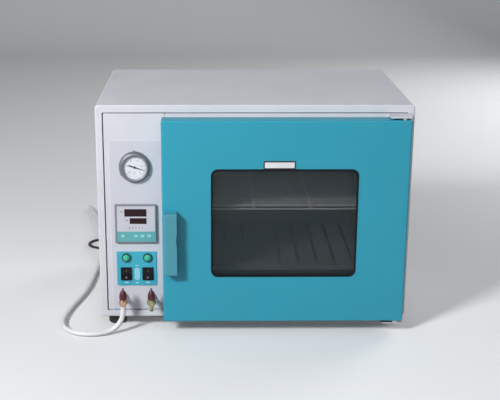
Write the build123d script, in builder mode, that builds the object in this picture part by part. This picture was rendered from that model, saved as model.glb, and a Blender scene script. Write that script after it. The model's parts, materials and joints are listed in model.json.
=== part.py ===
from build123d import *
from math import atan2, cos, degrees, radians, sin, sqrt, tan
import os

os.makedirs("parts", exist_ok=True)

# A bench vacuum oven with a chamber of about 50 litres: millimetres, +X to the right, +Y to the rear, +Z up.
# The origin lies on the bench, under the middle of the cabinet with its door.

# Cabinet
cabinet_width = 720
cabinet_depth = 480
cabinet_height = 508
foot_height = 27
cabinet_front = -205
cabinet_rear = cabinet_front + cabinet_depth
cabinet_bottom = foot_height
cabinet_top = foot_height + cabinet_height
cabinet_middle = (cabinet_bottom + cabinet_top) / 2
sheet = 1.5  # every folded sheet of the cabinet
cabinet_corner = 9
bend = 3  # outside radius of a folded edge

# Front rim: the shell's own front, folded inwards around the recessed fascia
rim_side = 15.5
rim_top = 17
rim_bottom = 15.5
rim_return = 12
opening_width = cabinet_width - 2 * rim_side
opening_height = cabinet_height - rim_top - rim_bottom
opening_middle = cabinet_bottom + rim_bottom + opening_height / 2

# Fascia: the control panel on the left and the chamber's front frame on the right
fascia_front = cabinet_front + 3
fascia_gap = 2.5
fascia_height = opening_height - 2 * fascia_gap
fascia_left = -opening_width / 2 + fascia_gap
fascia_right = opening_width / 2 - fascia_gap
seam_x = -203
seam_gap = 1
fascia_lip = 14

# Chamber: 415 wide, 345 high and 370 deep inside
chamber_x = 66
chamber_z = 270
chamber_width = 415
chamber_height = 345
chamber_wall = 5
chamber_front = fascia_front
chamber_back = 170
chamber_radius = 14
flange_width = 455
flange_height = 385
flange_thickness = 8
flange_radius = 24

# Door
door_left = -210.5
door_right = 348
door_bottom = 31
door_top = 508.5
door_front = -250
door_rear = -209.5
door_sheet = 1.2
door_width = door_right - door_left
door_height = door_top - door_bottom
door_x = (door_left + door_right) / 2
door_z = (door_bottom + door_top) / 2
door_edge = 4

# Window in the door
window_x = 66.6
window_z = 270.2
window_width = 333  # over the rubber trim
window_height = 256
window_radius = 16
trim_lip = 4

# Inner glass and the sealing ring that it presses on
glass_width = 455
glass_height = 385
glass_radius = 22
glass_thickness = 12
glass_rear = -211
seal_gap = 0.3
seal_width = 12

# Hinge
hinge_x = 332
hinge_y = -239.5
pin_radius = 4
pin_clearance = 0.06
hinge_plate_left = 300
hinge_plate_right = 349
hinge_plate_front = -246.5
hinge_leg_x = 320
hinge_leg_z = 493
hinge_screw_pitch = (24, 16)

# Control panel layout, all on the column's middle line
panel_x = -273.2
gauge_z = 392
controller_z = 257.7
controller_size = (96, 92)
lamp_z = 173.8
rocker_z = 134.2
lamp_x = (-297, -247.5)
rocker_x = (-298, -247.5)
valve_x = (-304.5, -238.5)
valve_y = -240
valve_port_z = 76.5


def upright(y):
    """The plane that faces the user at depth y: x runs to the right, y upwards, and extrusions come forwards."""
    return Plane.XZ.offset(-y)


def level(z):
    """The horizontal plane at height z."""
    return Plane.XY.offset(z)


def rim(middle, outer, inner, outer_radius, inner_radius):
    """A rounded rectangular ring in the current sketch, around the point middle."""
    with Locations(middle):
        RectangleRounded(*outer, outer_radius)
        RectangleRounded(*inner, inner_radius, mode=Mode.SUBTRACT)


# ---- cabinet ----

flange_inner_x = 66  # width of the two flanges under the cabinet that carry the feet
front_strip = 20
screw_columns = (-348, -174, 0, 174, 348)
screw_rows = (cabinet_bottom + 14, cabinet_top - 14)
screw_places = [(x, z) for x in screw_columns for z in screw_rows]
screw_places += [(x, cabinet_middle) for x in (screw_columns[0], screw_columns[-1])]

with BuildPart() as outer_shell:
    with BuildSketch(upright(cabinet_rear)):
        with Locations((0, cabinet_middle)):
            RectangleRounded(cabinet_width, cabinet_height, cabinet_corner)
    extrude(amount=cabinet_depth)
    fillet(outer_shell.faces().sort_by(Axis.Y)[0].edges(), bend)
    offset(amount=-sheet, openings=outer_shell.faces().sort_by(Axis.Y)[-1])
    with BuildSketch(upright(cabinet_front + sheet)):
        with Locations((0, opening_middle)):
            RectangleRounded(opening_width, opening_height, 2)
    extrude(amount=sheet, mode=Mode.SUBTRACT)
    # the rim folds back around the fascia
    with BuildSketch(upright(cabinet_front + rim_return)):
        rim(
            (0, opening_middle),
            (opening_width + 2 * sheet, opening_height + 2 * sheet),
            (opening_width, opening_height),
            2 + sheet,
            2,
        )
    extrude(amount=rim_return)
    # a flange all round the back takes the rear panel's screws
    with BuildSketch(upright(cabinet_rear - 2)):
        rim(
            (0, cabinet_middle),
            (cabinet_width - 2 * sheet, cabinet_height - 2 * sheet),
            (cabinet_width - 36, cabinet_height - 36),
            cabinet_corner - sheet,
            2,
        )
    extrude(amount=sheet)
    with BuildSketch(upright(cabinet_rear - 2)):
        with Locations(screw_places):
            Circle(2.1)
    extrude(amount=sheet, mode=Mode.SUBTRACT)
    # the underside is open between the two foot flanges
    underside_depth = cabinet_depth - front_strip - 18
    with BuildSketch(level(cabinet_bottom)):
        with Locations((0, cabinet_front + front_strip + underside_depth / 2)):
            RectangleRounded(cabinet_width - 2 * flange_inner_x, underside_depth, 6)
    extrude(amount=sheet, mode=Mode.SUBTRACT)
    foot_x = cabinet_width / 2 - 36
    foot_front_y = cabinet_front + 40
    foot_rear_y = cabinet_rear - 40
    foot_places = [(x, y) for x in (-foot_x, foot_x) for y in (foot_front_y, foot_rear_y)]
    with BuildSketch(level(cabinet_bottom)):
        with Locations(foot_places):
            Circle(3.3)
    extrude(amount=sheet, mode=Mode.SUBTRACT)
outer_shell.part.label = "outer_shell"
export_step(outer_shell.part, "parts/outer_shell.step")

pan_bottom = cabinet_bottom + sheet
pan_front = cabinet_front + 6
pan_rear = cabinet_rear - 14
pan_width = cabinet_width - 2 * cabinet_corner - 2
pan_lip = 11

with BuildPart() as base_pan:
    with BuildSketch(level(pan_bottom)):
        with Locations((0, (pan_front + pan_rear) / 2)):
            Rectangle(pan_width, pan_rear - pan_front)
    extrude(amount=pan_lip)
    with BuildSketch(level(pan_bottom + sheet)):
        with Locations((0, (pan_front + pan_rear) / 2)):
            Rectangle(pan_width + 2, pan_rear - pan_front - 2 * sheet)
    extrude(amount=pan_lip, mode=Mode.SUBTRACT)
    # air slots under the control compartment, and the feet's screw holes
    with BuildSketch(level(pan_bottom)):
        with Locations((panel_x + 30, 60)):
            with GridLocations(0, 16, 1, 12):
                SlotOverall(60, 5)
        with Locations(foot_places):
            Circle(3.3)
    extrude(amount=sheet, mode=Mode.SUBTRACT)
base_pan.part.label = "base_pan"
export_step(base_pan.part, "parts/base_pan.step")

rear_front = cabinet_rear - 2
rear_face = rear_front + sheet
rear_width = cabinet_width - 2 * sheet - 3
rear_height = cabinet_height - 2 * sheet - 3
louvre_count = 11
louvre_pitch = 22
louvre_length = 104
louvre_rise = 10
louvre_hood = 2.5
louvre_heights = [220 + louvre_pitch * number for number in range(louvre_count)]
gland_x = -300
gland_z = 75
gland_hole = 8


def half_slots(length, rise):
    """The upper halves of a column of slots in the current sketch, one for each louvre."""
    for z in louvre_heights:
        with Locations((panel_x, z)):
            SlotOverall(length, 2 * rise)
        with Locations((panel_x, z - rise / 2)):
            Rectangle(length, rise, mode=Mode.SUBTRACT)


with BuildPart() as rear_panel:
    with BuildSketch(upright(rear_face)):
        with Locations((0, cabinet_middle)):
            RectangleRounded(rear_width, rear_height, cabinet_corner - sheet)
    extrude(amount=sheet)
    # pressed louvres behind the control compartment, each a hood that opens downwards
    with BuildSketch(upright(rear_face)):
        half_slots(louvre_length, louvre_rise)
    extrude(amount=-louvre_hood)
    with BuildSketch(upright(rear_face + louvre_hood - 1)):
        half_slots(louvre_length - 2, louvre_rise - 1)
    extrude(amount=sheet + louvre_hood - 1, mode=Mode.SUBTRACT)
    with BuildSketch(upright(rear_face)):
        with Locations((gland_x, gland_z)):
            Circle(gland_hole)
        with Locations(screw_places):
            Circle(2.1)
    extrude(amount=sheet, mode=Mode.SUBTRACT)
rear_panel.part.label = "rear_panel"
export_step(rear_panel.part, "parts/rear_panel.step")

with BuildPart() as front_frame:
    frame_left = seam_x + seam_gap / 2
    frame_x = (frame_left + fascia_right) / 2
    frame_width = fascia_right - frame_left
    with BuildSketch(upright(fascia_front + fascia_lip)):
        with Locations((frame_x, opening_middle)):
            RectangleRounded(frame_width, fascia_height, 2)
    extrude(amount=fascia_lip)
    with BuildSketch(upright(fascia_front + fascia_lip)):
        with Locations((frame_x, opening_middle)):
            Rectangle(frame_width - 2 * sheet, fascia_height - 2 * sheet)
    extrude(amount=fascia_lip - sheet, mode=Mode.SUBTRACT)
    with BuildSketch(upright(fascia_front + sheet)):
        with Locations((chamber_x, chamber_z)):
            RectangleRounded(flange_width + 2, flange_height + 2, flange_radius + 1)
        with Locations((hinge_leg_x, hinge_leg_z)):
            with GridLocations(*hinge_screw_pitch, 2, 2):
                Circle(2.1)
    extrude(amount=sheet, mode=Mode.SUBTRACT)
front_frame.part.label = "front_frame"
export_step(front_frame.part, "parts/front_frame.step")

gauge_hole = 30.6
controller_hole = (92, 90)
switch_plate_width = 93
switch_plate_height = 83.5
switch_plate_z = 146.75
switch_plate_thickness = 2
switch_plate_front = fascia_front - switch_plate_thickness
lamp_hole = 9.2
rocker_hole = (23.4, 29.4)
valve_hole = 6.6


def switch_holes():
    """The lamps' and rocker switches' holes, through the plate and the panel behind it."""
    for x in lamp_x:
        with Locations((x, lamp_z)):
            Circle(lamp_hole)
    for x in rocker_x:
        with Locations((x, rocker_z)):
            Rectangle(*rocker_hole)


with BuildPart() as control_panel:
    panel_right = seam_x - seam_gap / 2
    panel_middle = (fascia_left + panel_right) / 2
    panel_width = panel_right - fascia_left
    with BuildSketch(upright(fascia_front + fascia_lip)):
        with Locations((panel_middle, opening_middle)):
            RectangleRounded(panel_width, fascia_height, 2)
    extrude(amount=fascia_lip)
    with BuildSketch(upright(fascia_front + fascia_lip)):
        with Locations((panel_middle, opening_middle)):
            Rectangle(panel_width - 2 * sheet, fascia_height - 2 * sheet)
    extrude(amount=fascia_lip - sheet, mode=Mode.SUBTRACT)
    with BuildSketch(upright(fascia_front + sheet)):
        with Locations((panel_x, gauge_z)):
            Circle(gauge_hole)
        with Locations((panel_x, controller_z)):
            Rectangle(*controller_hole)
        switch_holes()
        for x in valve_x:
            with Locations((x, valve_port_z)):
                Circle(valve_hole)
    extrude(amount=sheet, mode=Mode.SUBTRACT)
control_panel.part.label = "control_panel"
export_step(control_panel.part, "parts/control_panel.step")

# ---- heated chamber ----

pipe_radius = 4
branch_y = -110
branch_z = 371
probe_y = 20
probe_z = 404
probe_radius = 2.5

with BuildPart() as chamber:
    outer = (chamber_width + 2 * chamber_wall, chamber_height + 2 * chamber_wall)
    with BuildSketch(upright(chamber_back + chamber_wall)):
        with Locations((chamber_x, chamber_z)):
            RectangleRounded(*outer, chamber_radius + chamber_wall)
    extrude(amount=chamber_back + chamber_wall - chamber_front)
    fillet(chamber.faces().sort_by(Axis.Y)[-1].edges(), 8)
    with BuildSketch(upright(chamber_front + flange_thickness)):
        with Locations((chamber_x, chamber_z)):
            RectangleRounded(flange_width, flange_height, flange_radius)
    extrude(amount=flange_thickness)
    with BuildSketch(upright(chamber_back)):
        with Locations((chamber_x, chamber_z)):
            RectangleRounded(chamber_width, chamber_height, chamber_radius)
    extrude(amount=chamber_back - chamber_front, mode=Mode.SUBTRACT)
    # the air pipe's port and the probe's hole, both in the left wall
    with BuildSketch(Plane.YZ.offset(chamber_x - chamber_width / 2 - chamber_wall)):
        with Locations((branch_y, branch_z)):
            Circle(3)
        with Locations((probe_y, probe_z)):
            Circle(probe_radius)
    extrude(amount=chamber_wall, mode=Mode.SUBTRACT)
chamber.part.label = "chamber"
export_step(chamber.part, "parts/chamber.step")

seal_front = glass_rear + seal_gap
seal_outer = (chamber_width + 8 + 2 * seal_width, chamber_height + 8 + 2 * seal_width)
seal_inner = (chamber_width + 8, chamber_height + 8)

with BuildPart() as door_seal:
    with BuildSketch(upright(chamber_front)):
        rim((chamber_x, chamber_z), seal_outer, seal_inner, 26, 14)
    extrude(amount=chamber_front - seal_front)
    # a rounded sealing lip, with a groove round its foot on both sides
    fillet(door_seal.faces().sort_by(Axis.Y)[0].edges(), 3.5)
    with BuildSketch(upright(chamber_front - 2.5)):
        with Locations((chamber_x, chamber_z)):
            RectangleRounded(seal_outer[0] + 2, seal_outer[1] + 2, 27)
            RectangleRounded(seal_outer[0] - 3, seal_outer[1] - 3, 24.5, mode=Mode.SUBTRACT)
    extrude(amount=1.5, mode=Mode.SUBTRACT)
door_seal.part.label = "door_seal"
export_step(door_seal.part, "parts/door_seal.step")

heater_gap = 5
leg_size = 20
leg_places = [(x, y) for x in (chamber_x - 166, chamber_x + 166) for y in (-130, 120)]
chamber_under = chamber_z - chamber_height / 2 - chamber_wall
chamber_left = chamber_x - chamber_width / 2 - chamber_wall
wool_side = 48
wool_front = -188
wool_rear = 235

with BuildPart() as insulation:
    wool_width = outer[0] + 2 * wool_side
    wool_height = outer[1] + 2 * wool_side
    with BuildSketch(upright(wool_rear)):
        with Locations((chamber_x, chamber_z)):
            RectangleRounded(wool_width, wool_height, 20)
    extrude(amount=wool_rear - wool_front)
    with BuildSketch(upright(chamber_back + chamber_wall + heater_gap)):
        with Locations((chamber_x, chamber_z)):
            RectangleRounded(outer[0] + 2 * heater_gap, outer[1] + 2 * heater_gap, 22)
    extrude(amount=chamber_back + chamber_wall + heater_gap - wool_front, mode=Mode.SUBTRACT)
    with BuildSketch(level(0)):
        with Locations(leg_places):
            Rectangle(leg_size + 2, leg_size + 2)
    extrude(amount=chamber_under, mode=Mode.SUBTRACT)
    with BuildSketch(Plane.YZ.offset(chamber_left - wool_side - 1)):
        with Locations((branch_y, branch_z)):
            Circle(pipe_radius + 1)
        with Locations((probe_y, probe_z)):
            Circle(9)
    extrude(amount=wool_side + 1, mode=Mode.SUBTRACT)
insulation.part.label = "insulation"
export_step(insulation.part, "parts/insulation.step")

heater_thickness = 4
heater_depth = 280
heater_middle_y = (wool_front + chamber_back) / 2

with BuildPart() as heater_plates:
    with BuildSketch(upright(heater_middle_y + heater_depth / 2)):
        for side in (-1, 1):
            with Locations((chamber_x + side * (outer[0] + heater_thickness) / 2, chamber_z - 20)):
                Rectangle(heater_thickness, 230)
            with Locations((chamber_x, chamber_z + side * (outer[1] + heater_thickness) / 2)):
                Rectangle(250, heater_thickness)
    extrude(amount=heater_depth)
heater_plates.part.label = "heater_plates"
export_step(heater_plates.part, "parts/heater_plates.step")

with BuildPart() as chamber_legs:
    with BuildSketch(level(pan_bottom + sheet)):
        with Locations(leg_places):
            Rectangle(leg_size, leg_size)
            Rectangle(leg_size - 4, leg_size - 4, mode=Mode.SUBTRACT)
    extrude(amount=chamber_under - pan_bottom - sheet)
chamber_legs.part.label = "chamber_legs"
export_step(chamber_legs.part, "parts/chamber_legs.step")

with BuildPart() as temperature_probe:
    with BuildSketch(Plane.YZ.offset(chamber_left)):
        with Locations((probe_y, probe_z)):
            Circle(probe_radius)
    extrude(amount=100)
    fillet(temperature_probe.faces().sort_by(Axis.X)[-1].edges(), 2)
    # the gland that clamps it outside the chamber wall, and its lead sleeve
    with BuildSketch(Plane.YZ.offset(chamber_left - 14)):
        with Locations((probe_y, probe_z)):
            RegularPolygon(7, 6)
    extrude(amount=14)
    with BuildSketch(Plane.YZ.offset(chamber_left - 34)):
        with Locations((probe_y, probe_z)):
            Circle(4)
    extrude(amount=20)
temperature_probe.part.label = "temperature_probe"
export_step(temperature_probe.part, "parts/temperature_probe.step")

# ---- shelves and the rails that carry them ----

shelf_width = 403
shelf_front = -190
shelf_rear = 160
shelf_depth = shelf_rear - shelf_front
shelf_y = (shelf_front + shelf_rear) / 2
rod_radius = 2.5
wire_radius = 1.25
upper_z = 295.5  # the axis of the wire shelf's frame rod
lower_z = 149  # the top of the slotted tray shelf
tray_sheet = 1.2
tray_lip = 11
rail_gap = 0.3
rail_flange = 12
rail_sheet = 1.5
rail_tops = (upper_z - rod_radius - rail_gap, lower_z - tray_sheet - rail_gap)
bar_offset = 66  # the two flat bars under the wires, either side of the middle

with BuildPart() as shelf_rails:
    rail_front = shelf_front + 8
    for side in (-1, 1):
        wall_x = chamber_x + side * chamber_width / 2
        for top in rail_tops:
            with BuildSketch(upright(shelf_rear)):
                with Locations((wall_x - side * rail_flange / 2, top - rail_sheet / 2)):
                    Rectangle(rail_flange, rail_sheet)
                with Locations((wall_x - side * rail_sheet / 2, top - 7)):
                    Rectangle(rail_sheet, 14)
            extrude(amount=shelf_rear - rail_front)
shelf_rails.part.label = "shelf_rails"
export_step(shelf_rails.part, "parts/shelf_rails.step")

wire_pitch = 12
wire_count = 28

with BuildPart() as shelf_upper:
    half_width = shelf_width / 2 - rod_radius
    corners = [
        (chamber_x - half_width, shelf_front + rod_radius, upper_z),
        (chamber_x + half_width, shelf_front + rod_radius, upper_z),
        (chamber_x + half_width, shelf_rear - rod_radius, upper_z),
        (chamber_x - half_width, shelf_rear - rod_radius, upper_z),
    ]
    with BuildLine():
        FilletPolyline(*corners, radius=12, close=True)
    with BuildSketch(Plane.YZ.offset(chamber_x)):
        with Locations((shelf_front + rod_radius, upper_z)):
            Circle(rod_radius)
    sweep()
    # the wires run from side to side, over two bars that turn down at the front
    with BuildSketch(Plane.YZ.offset(chamber_x - half_width)):
        with Locations((shelf_y, upper_z)):
            with GridLocations(wire_pitch, 0, wire_count, 1):
                Circle(wire_radius)
    extrude(amount=2 * half_width)
    bar_top = upper_z - wire_radius + 0.3
    for side in (-1, 1):
        with BuildSketch(Plane.YZ.offset(chamber_x + side * bar_offset - 3)):
            with BuildLine():
                Polyline(
                    (shelf_rear - rod_radius, bar_top),
                    (shelf_front + rod_radius + 1.2, bar_top),
                    (shelf_front + rod_radius + 1.2, upper_z - 10),
                    (shelf_front + rod_radius + 3.2, upper_z - 10),
                    (shelf_front + rod_radius + 3.2, bar_top - 2),
                    (shelf_rear - rod_radius, bar_top - 2),
                    close=True,
                )
            make_face()
        extrude(amount=6)
    # a second rod below the front one, which stiffens the edge
    lower_rod_half = half_width - rail_flange - 6
    lower_rod = [
        (chamber_x - lower_rod_half, shelf_front + rod_radius, upper_z),
        (chamber_x - lower_rod_half, shelf_front + rod_radius, upper_z - 8.5),
        (chamber_x + lower_rod_half, shelf_front + rod_radius, upper_z - 8.5),
        (chamber_x + lower_rod_half, shelf_front + rod_radius, upper_z),
    ]
    with BuildLine():
        FilletPolyline(*lower_rod, radius=3.5)
    with BuildSketch(level(upper_z)):
        with Locations(lower_rod[0][:2]):
            Circle(2)
    sweep()
shelf_upper.part.label = "shelf_upper"
export_step(shelf_upper.part, "parts/shelf_upper.step")

slot_pitch = 43
slot_count = 9
slot_width = 7

with BuildPart() as shelf_lower:
    with BuildSketch(level(lower_z - tray_lip)):
        with Locations((chamber_x, shelf_y)):
            Rectangle(shelf_width, shelf_depth)
    extrude(amount=tray_lip)
    # the front and rear edges turn down, and the sides stay flat on the rails
    with BuildSketch(level(lower_z - tray_lip)):
        with Locations((chamber_x, shelf_y)):
            Rectangle(shelf_width, shelf_depth - 2 * tray_sheet)
    extrude(amount=tray_lip - tray_sheet, mode=Mode.SUBTRACT)
    with BuildSketch(level(lower_z - tray_lip)):
        for side in (-1, 1):
            with Locations((chamber_x + side * (shelf_width - rail_flange) / 2, shelf_y)):
                Rectangle(rail_flange + 4, shelf_depth)
    extrude(amount=tray_lip - tray_sheet, mode=Mode.SUBTRACT)
    with BuildSketch(level(lower_z - tray_sheet)):
        with Locations((chamber_x, shelf_y)):
            with GridLocations(slot_pitch, 0, slot_count, 1):
                SlotOverall(shelf_depth - 60, slot_width, rotation=90)
    extrude(amount=tray_sheet, mode=Mode.SUBTRACT)
shelf_lower.part.label = "shelf_lower"
export_step(shelf_lower.part, "parts/shelf_lower.step")

# ---- vacuum gauge ----

gauge_outer = 36
gauge_case_radius = 30
gauge_front = cabinet_front - 9
dial_front = fascia_front - 4.5
gauge_back = -172
gauge_stub_end = -158
glass_sheet = 1.5
gauge_glass_front = gauge_front + 2.5


def gauge_axis():
    """The gauge's own section plane: x is the distance from its axis, y runs towards the user."""
    return Plane(origin=(panel_x, 0, gauge_z), x_dir=(1, 0, 0), z_dir=(0, 0, 1))


with BuildPart() as gauge_case:
    cup_rim = gauge_glass_front + glass_sheet
    with BuildSketch(gauge_axis()):
        with BuildLine():
            Polyline(
                (0, dial_front + 1),
                (gauge_case_radius - 1.4, dial_front + 1),
                (gauge_case_radius - 1.4, cup_rim),
                (gauge_case_radius, cup_rim),
                (gauge_case_radius, gauge_back - 3),
                (gauge_case_radius - 3, gauge_back),
                (6.5, gauge_back),
                (6.5, gauge_stub_end),
                (0, gauge_stub_end),
                close=True,
            )
        make_face()
    revolve(axis=Axis((panel_x, 0, gauge_z), (0, 1, 0)))
    with BuildSketch(upright(dial_front + 1 + 6)):
        with Locations((panel_x, gauge_z)):
            Circle(1.1)
    extrude(amount=6, mode=Mode.SUBTRACT)
gauge_case.part.label = "gauge_case"
export_step(gauge_case.part, "parts/gauge_case.step")

with BuildPart() as gauge_bezel:
    lip_radius = 27.2
    with BuildSketch(gauge_axis()):
        with BuildLine():
            Polyline((gauge_case_radius + 0.05, fascia_front), (gauge_outer, fascia_front))
            Line((gauge_outer, fascia_front), (gauge_outer, fascia_front - 3))
            TangentArc(
                (gauge_outer, fascia_front - 3), (lip_radius + 3, gauge_front), tangent=(0, -1)
            )
            Polyline(
                (lip_radius + 3, gauge_front),
                (lip_radius, gauge_front + 1),
                (lip_radius, gauge_glass_front),
                (gauge_case_radius + 0.05, gauge_glass_front),
                (gauge_case_radius + 0.05, fascia_front),
            )
        make_face()
    revolve(axis=Axis((panel_x, 0, gauge_z), (0, 1, 0)))
    # three crimped tabs hold the ring to the case
    with BuildSketch(upright(fascia_front)):
        with Locations((panel_x, gauge_z)):
            with PolarLocations(gauge_outer - 1, 3, start_angle=90):
                SlotOverall(7, 5, rotation=90)
            Circle(gauge_outer - 4, mode=Mode.SUBTRACT)
    extrude(amount=3)
gauge_bezel.part.label = "gauge_bezel"
export_step(gauge_bezel.part, "parts/gauge_bezel.step")

with BuildPart() as gauge_dial:
    with BuildSketch(upright(dial_front + 1)):
        with Locations((panel_x, gauge_z)):
            Circle(gauge_case_radius - 1.5)
            Circle(1.1, mode=Mode.SUBTRACT)
    extrude(amount=1)
gauge_dial.part.label = "gauge_dial"
export_step(gauge_dial.part, "parts/gauge_dial.step")

with BuildPart() as gauge_glass:
    with BuildSketch(upright(gauge_glass_front + glass_sheet)):
        with Locations((panel_x, gauge_z)):
            Circle(gauge_case_radius - 0.1)
    extrude(amount=glass_sheet)
gauge_glass.part.label = "gauge_glass"
export_step(gauge_glass.part, "parts/gauge_glass.step")

pointer_tip = 24
pointer_tail = 14.5
pointer_angle = -17.5  # from +X, anticlockwise as the user sees it

with BuildPart() as gauge_pointer:
    pointer_rear = dial_front - 1.6
    pointing = (cos(radians(pointer_angle)), 0, sin(radians(pointer_angle)))
    pointer_plane = Plane(origin=(panel_x, pointer_rear, gauge_z), x_dir=pointing, z_dir=(0, -1, 0))
    with BuildSketch(pointer_plane):
        with BuildLine():
            Polyline(
                (pointer_tip, 0.3),
                (3, 1.2),
                (-pointer_tail, 1.7),
                (-pointer_tail, -1.7),
                (3, -1.2),
                (pointer_tip, -0.3),
                close=True,
            )
        make_face()
        Circle(2.6)
    extrude(amount=0.8)
    with BuildSketch(upright(dial_front + 4)):
        with Locations((panel_x, gauge_z)):
            Circle(1.04)
    extrude(amount=dial_front + 4 - pointer_rear + 1.5)
gauge_pointer.part.label = "gauge_pointer"
export_step(gauge_pointer.part, "parts/gauge_pointer.step")

# ---- temperature controller ----

controller_front = cabinet_front - 4.5
face_size = (88, 86)
face_thickness = 1.5
face_front = controller_front + 1
case_back = -122
case_size = (90, 88)
display_places = ((-273.5, 284.2, 51, 18), (-267.5, 264.6, 39, 14))
key_places = (-303, -273, -258, -243)
key_z = 228
key_size = (10, 7)
key_gap = 0.3
key_travel = 0.8
key_depth = 4
key_front = controller_front + 0.3

with BuildPart() as controller_case:
    with BuildSketch(upright(fascia_front)):
        with Locations((panel_x, controller_z)):
            RectangleRounded(*controller_size, 2)
    extrude(amount=fascia_front - controller_front)
    chamfer(controller_case.faces().sort_by(Axis.Y)[0].edges(), 1.2)
    with BuildSketch(upright(case_back)):
        with Locations((panel_x, controller_z)):
            RectangleRounded(*case_size, 2)
    extrude(amount=case_back - fascia_front)
    with BuildSketch(upright(face_front + face_thickness)):
        with Locations((panel_x, controller_z)):
            RectangleRounded(*face_size, 1.5)
    extrude(amount=face_front + face_thickness - controller_front, mode=Mode.SUBTRACT)
    # wells behind the displays and the keys
    with BuildSketch(upright(face_front + face_thickness + 4)):
        for x, z, width, height in display_places:
            with Locations((x, z)):
                Rectangle(width, height)
        for x in key_places:
            with Locations((x, key_z)):
                Rectangle(key_size[0] + 2 * key_gap, key_size[1] + 2 * key_gap)
    extrude(amount=4, mode=Mode.SUBTRACT)
controller_case.part.label = "controller_case"
export_step(controller_case.part, "parts/controller_case.step")

with BuildPart() as controller_face:
    with BuildSketch(upright(face_front + face_thickness)):
        with Locations((panel_x, controller_z)):
            RectangleRounded(*face_size, 1.5)
        for x, z, width, height in display_places:
            with Locations((x, z)):
                Rectangle(width, height, mode=Mode.SUBTRACT)
        for x in key_places:
            with Locations((x, key_z)):
                Rectangle(
                    key_size[0] + 2 * key_gap, key_size[1] + 2 * key_gap, mode=Mode.SUBTRACT
                )
    extrude(amount=face_thickness)
controller_face.part.label = "controller_face"
export_step(controller_face.part, "parts/controller_face.step")

with BuildPart() as controller_displays:
    with BuildSketch(upright(face_front + face_thickness + 4)):
        for x, z, width, height in display_places:
            with Locations((x, z)):
                Rectangle(width, height)
    extrude(amount=4 + face_thickness + 0.2)
    chamfer(controller_displays.faces().group_by(Axis.Y)[0].edges(), 0.4)
controller_displays.part.label = "controller_displays"
export_step(controller_displays.part, "parts/controller_displays.step")

for number, x in enumerate(key_places, start=1):
    with BuildPart() as key:
        with BuildSketch(upright(key_front + key_depth)):
            with Locations((x, key_z)):
                RectangleRounded(*key_size, 1.5)
        extrude(amount=key_depth)
        fillet(key.faces().sort_by(Axis.Y)[0].edges(), 0.8)
    key.part.label = f"controller_key_{number}"
    export_step(key.part, f"parts/controller_key_{number}.step")

# ---- switch plate, lamps and rocker switches ----

with BuildPart() as switch_plate:
    with BuildSketch(upright(fascia_front)):
        with Locations((panel_x, switch_plate_z)):
            RectangleRounded(switch_plate_width, switch_plate_height, 2)
    extrude(amount=switch_plate_thickness)
    chamfer(switch_plate.faces().sort_by(Axis.Y)[0].edges(), 0.5)
    with BuildSketch(upright(fascia_front)):
        switch_holes()
    extrude(amount=switch_plate_thickness, mode=Mode.SUBTRACT)
switch_plate.part.label = "switch_plate"
export_step(switch_plate.part, "parts/switch_plate.step")

lamp_outer = 11.2
lens_radius = 7.9
lamp_body = 24
lamp_body_radius = 9


def lamp_section(x):
    """A lamp's section plane: x is the distance from the lamp's axis, y runs towards the user."""
    return Plane(origin=(x, 0, lamp_z), x_dir=(1, 0, 0), z_dir=(0, 0, 1))


with BuildPart() as lamp_bezels:
    for x in lamp_x:
        with BuildSketch(lamp_section(x)):
            with BuildLine():
                Polyline(
                    (lens_radius, switch_plate_front - 3.5),
                    (lens_radius, switch_plate_front + 6),
                    (0, switch_plate_front + 6),
                    (0, switch_plate_front + lamp_body),
                    (lamp_body_radius, switch_plate_front + lamp_body),
                    (lamp_body_radius, switch_plate_front),
                    (lamp_outer, switch_plate_front),
                    (lamp_outer, switch_plate_front - 2),
                    (lamp_outer - 1.2, switch_plate_front - 3.5),
                    close=True,
                )
            make_face()
        revolve(axis=Axis((x, 0, lamp_z), (0, 1, 0)))
lamp_bezels.part.label = "lamp_bezels"
export_step(lamp_bezels.part, "parts/lamp_bezels.step")

dome_foot = switch_plate_front - 4
dome_rise = 4.5
dome_radius = (lens_radius**2 + dome_rise**2) / (2 * dome_rise)
dome_centre = dome_foot - dome_rise + dome_radius

with BuildPart() as lamp_lenses:
    for x in lamp_x:
        with BuildSketch(lamp_section(x)):
            with BuildLine():
                Polyline(
                    (0, switch_plate_front + 6),
                    (lens_radius, switch_plate_front + 6),
                    (lens_radius, dome_foot),
                )
                ThreePointArc(
                    (lens_radius, dome_foot),
                    (lens_radius / 2, dome_centre - sqrt(dome_radius**2 - lens_radius**2 / 4)),
                    (0, dome_foot - dome_rise),
                )
                Line((0, dome_foot - dome_rise), (0, switch_plate_front + 6))
            make_face()
        revolve(axis=Axis((x, 0, lamp_z), (0, 1, 0)))
lamp_lenses.part.label = "lamp_lenses"
export_step(lamp_lenses.part, "parts/lamp_lenses.step")

rocker_frame_size = (26, 31.5)
rocker_body_size = (23.2, 29.2)
rocker_opening = (21.6, 27.4)
rocker_width = 21
rocker_frame_front = switch_plate_front - 2
rocker_pivot_y = rocker_frame_front + 1.8
rocker_tilt = 10  # degrees either side of the middle
rocker_end = 12.6
rocker_rise = 2.0
rocker_back = 4

with BuildPart() as rocker_frames:
    for x in rocker_x:
        with BuildSketch(upright(switch_plate_front)):
            with Locations((x, rocker_z)):
                RectangleRounded(*rocker_frame_size, 1.5)
        extrude(amount=switch_plate_front - rocker_frame_front)
        with BuildSketch(upright(switch_plate_front + 24)):
            with Locations((x, rocker_z)):
                Rectangle(*rocker_body_size)
        extrude(amount=24)
        with BuildSketch(upright(rocker_pivot_y + 14.5)):
            with Locations((x, rocker_z)):
                Rectangle(*rocker_opening)
        extrude(amount=rocker_pivot_y + 14.5 - rocker_frame_front, mode=Mode.SUBTRACT)
rocker_frames.part.label = "rocker_frames"
export_step(rocker_frames.part, "parts/rocker_frames.step")

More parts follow.
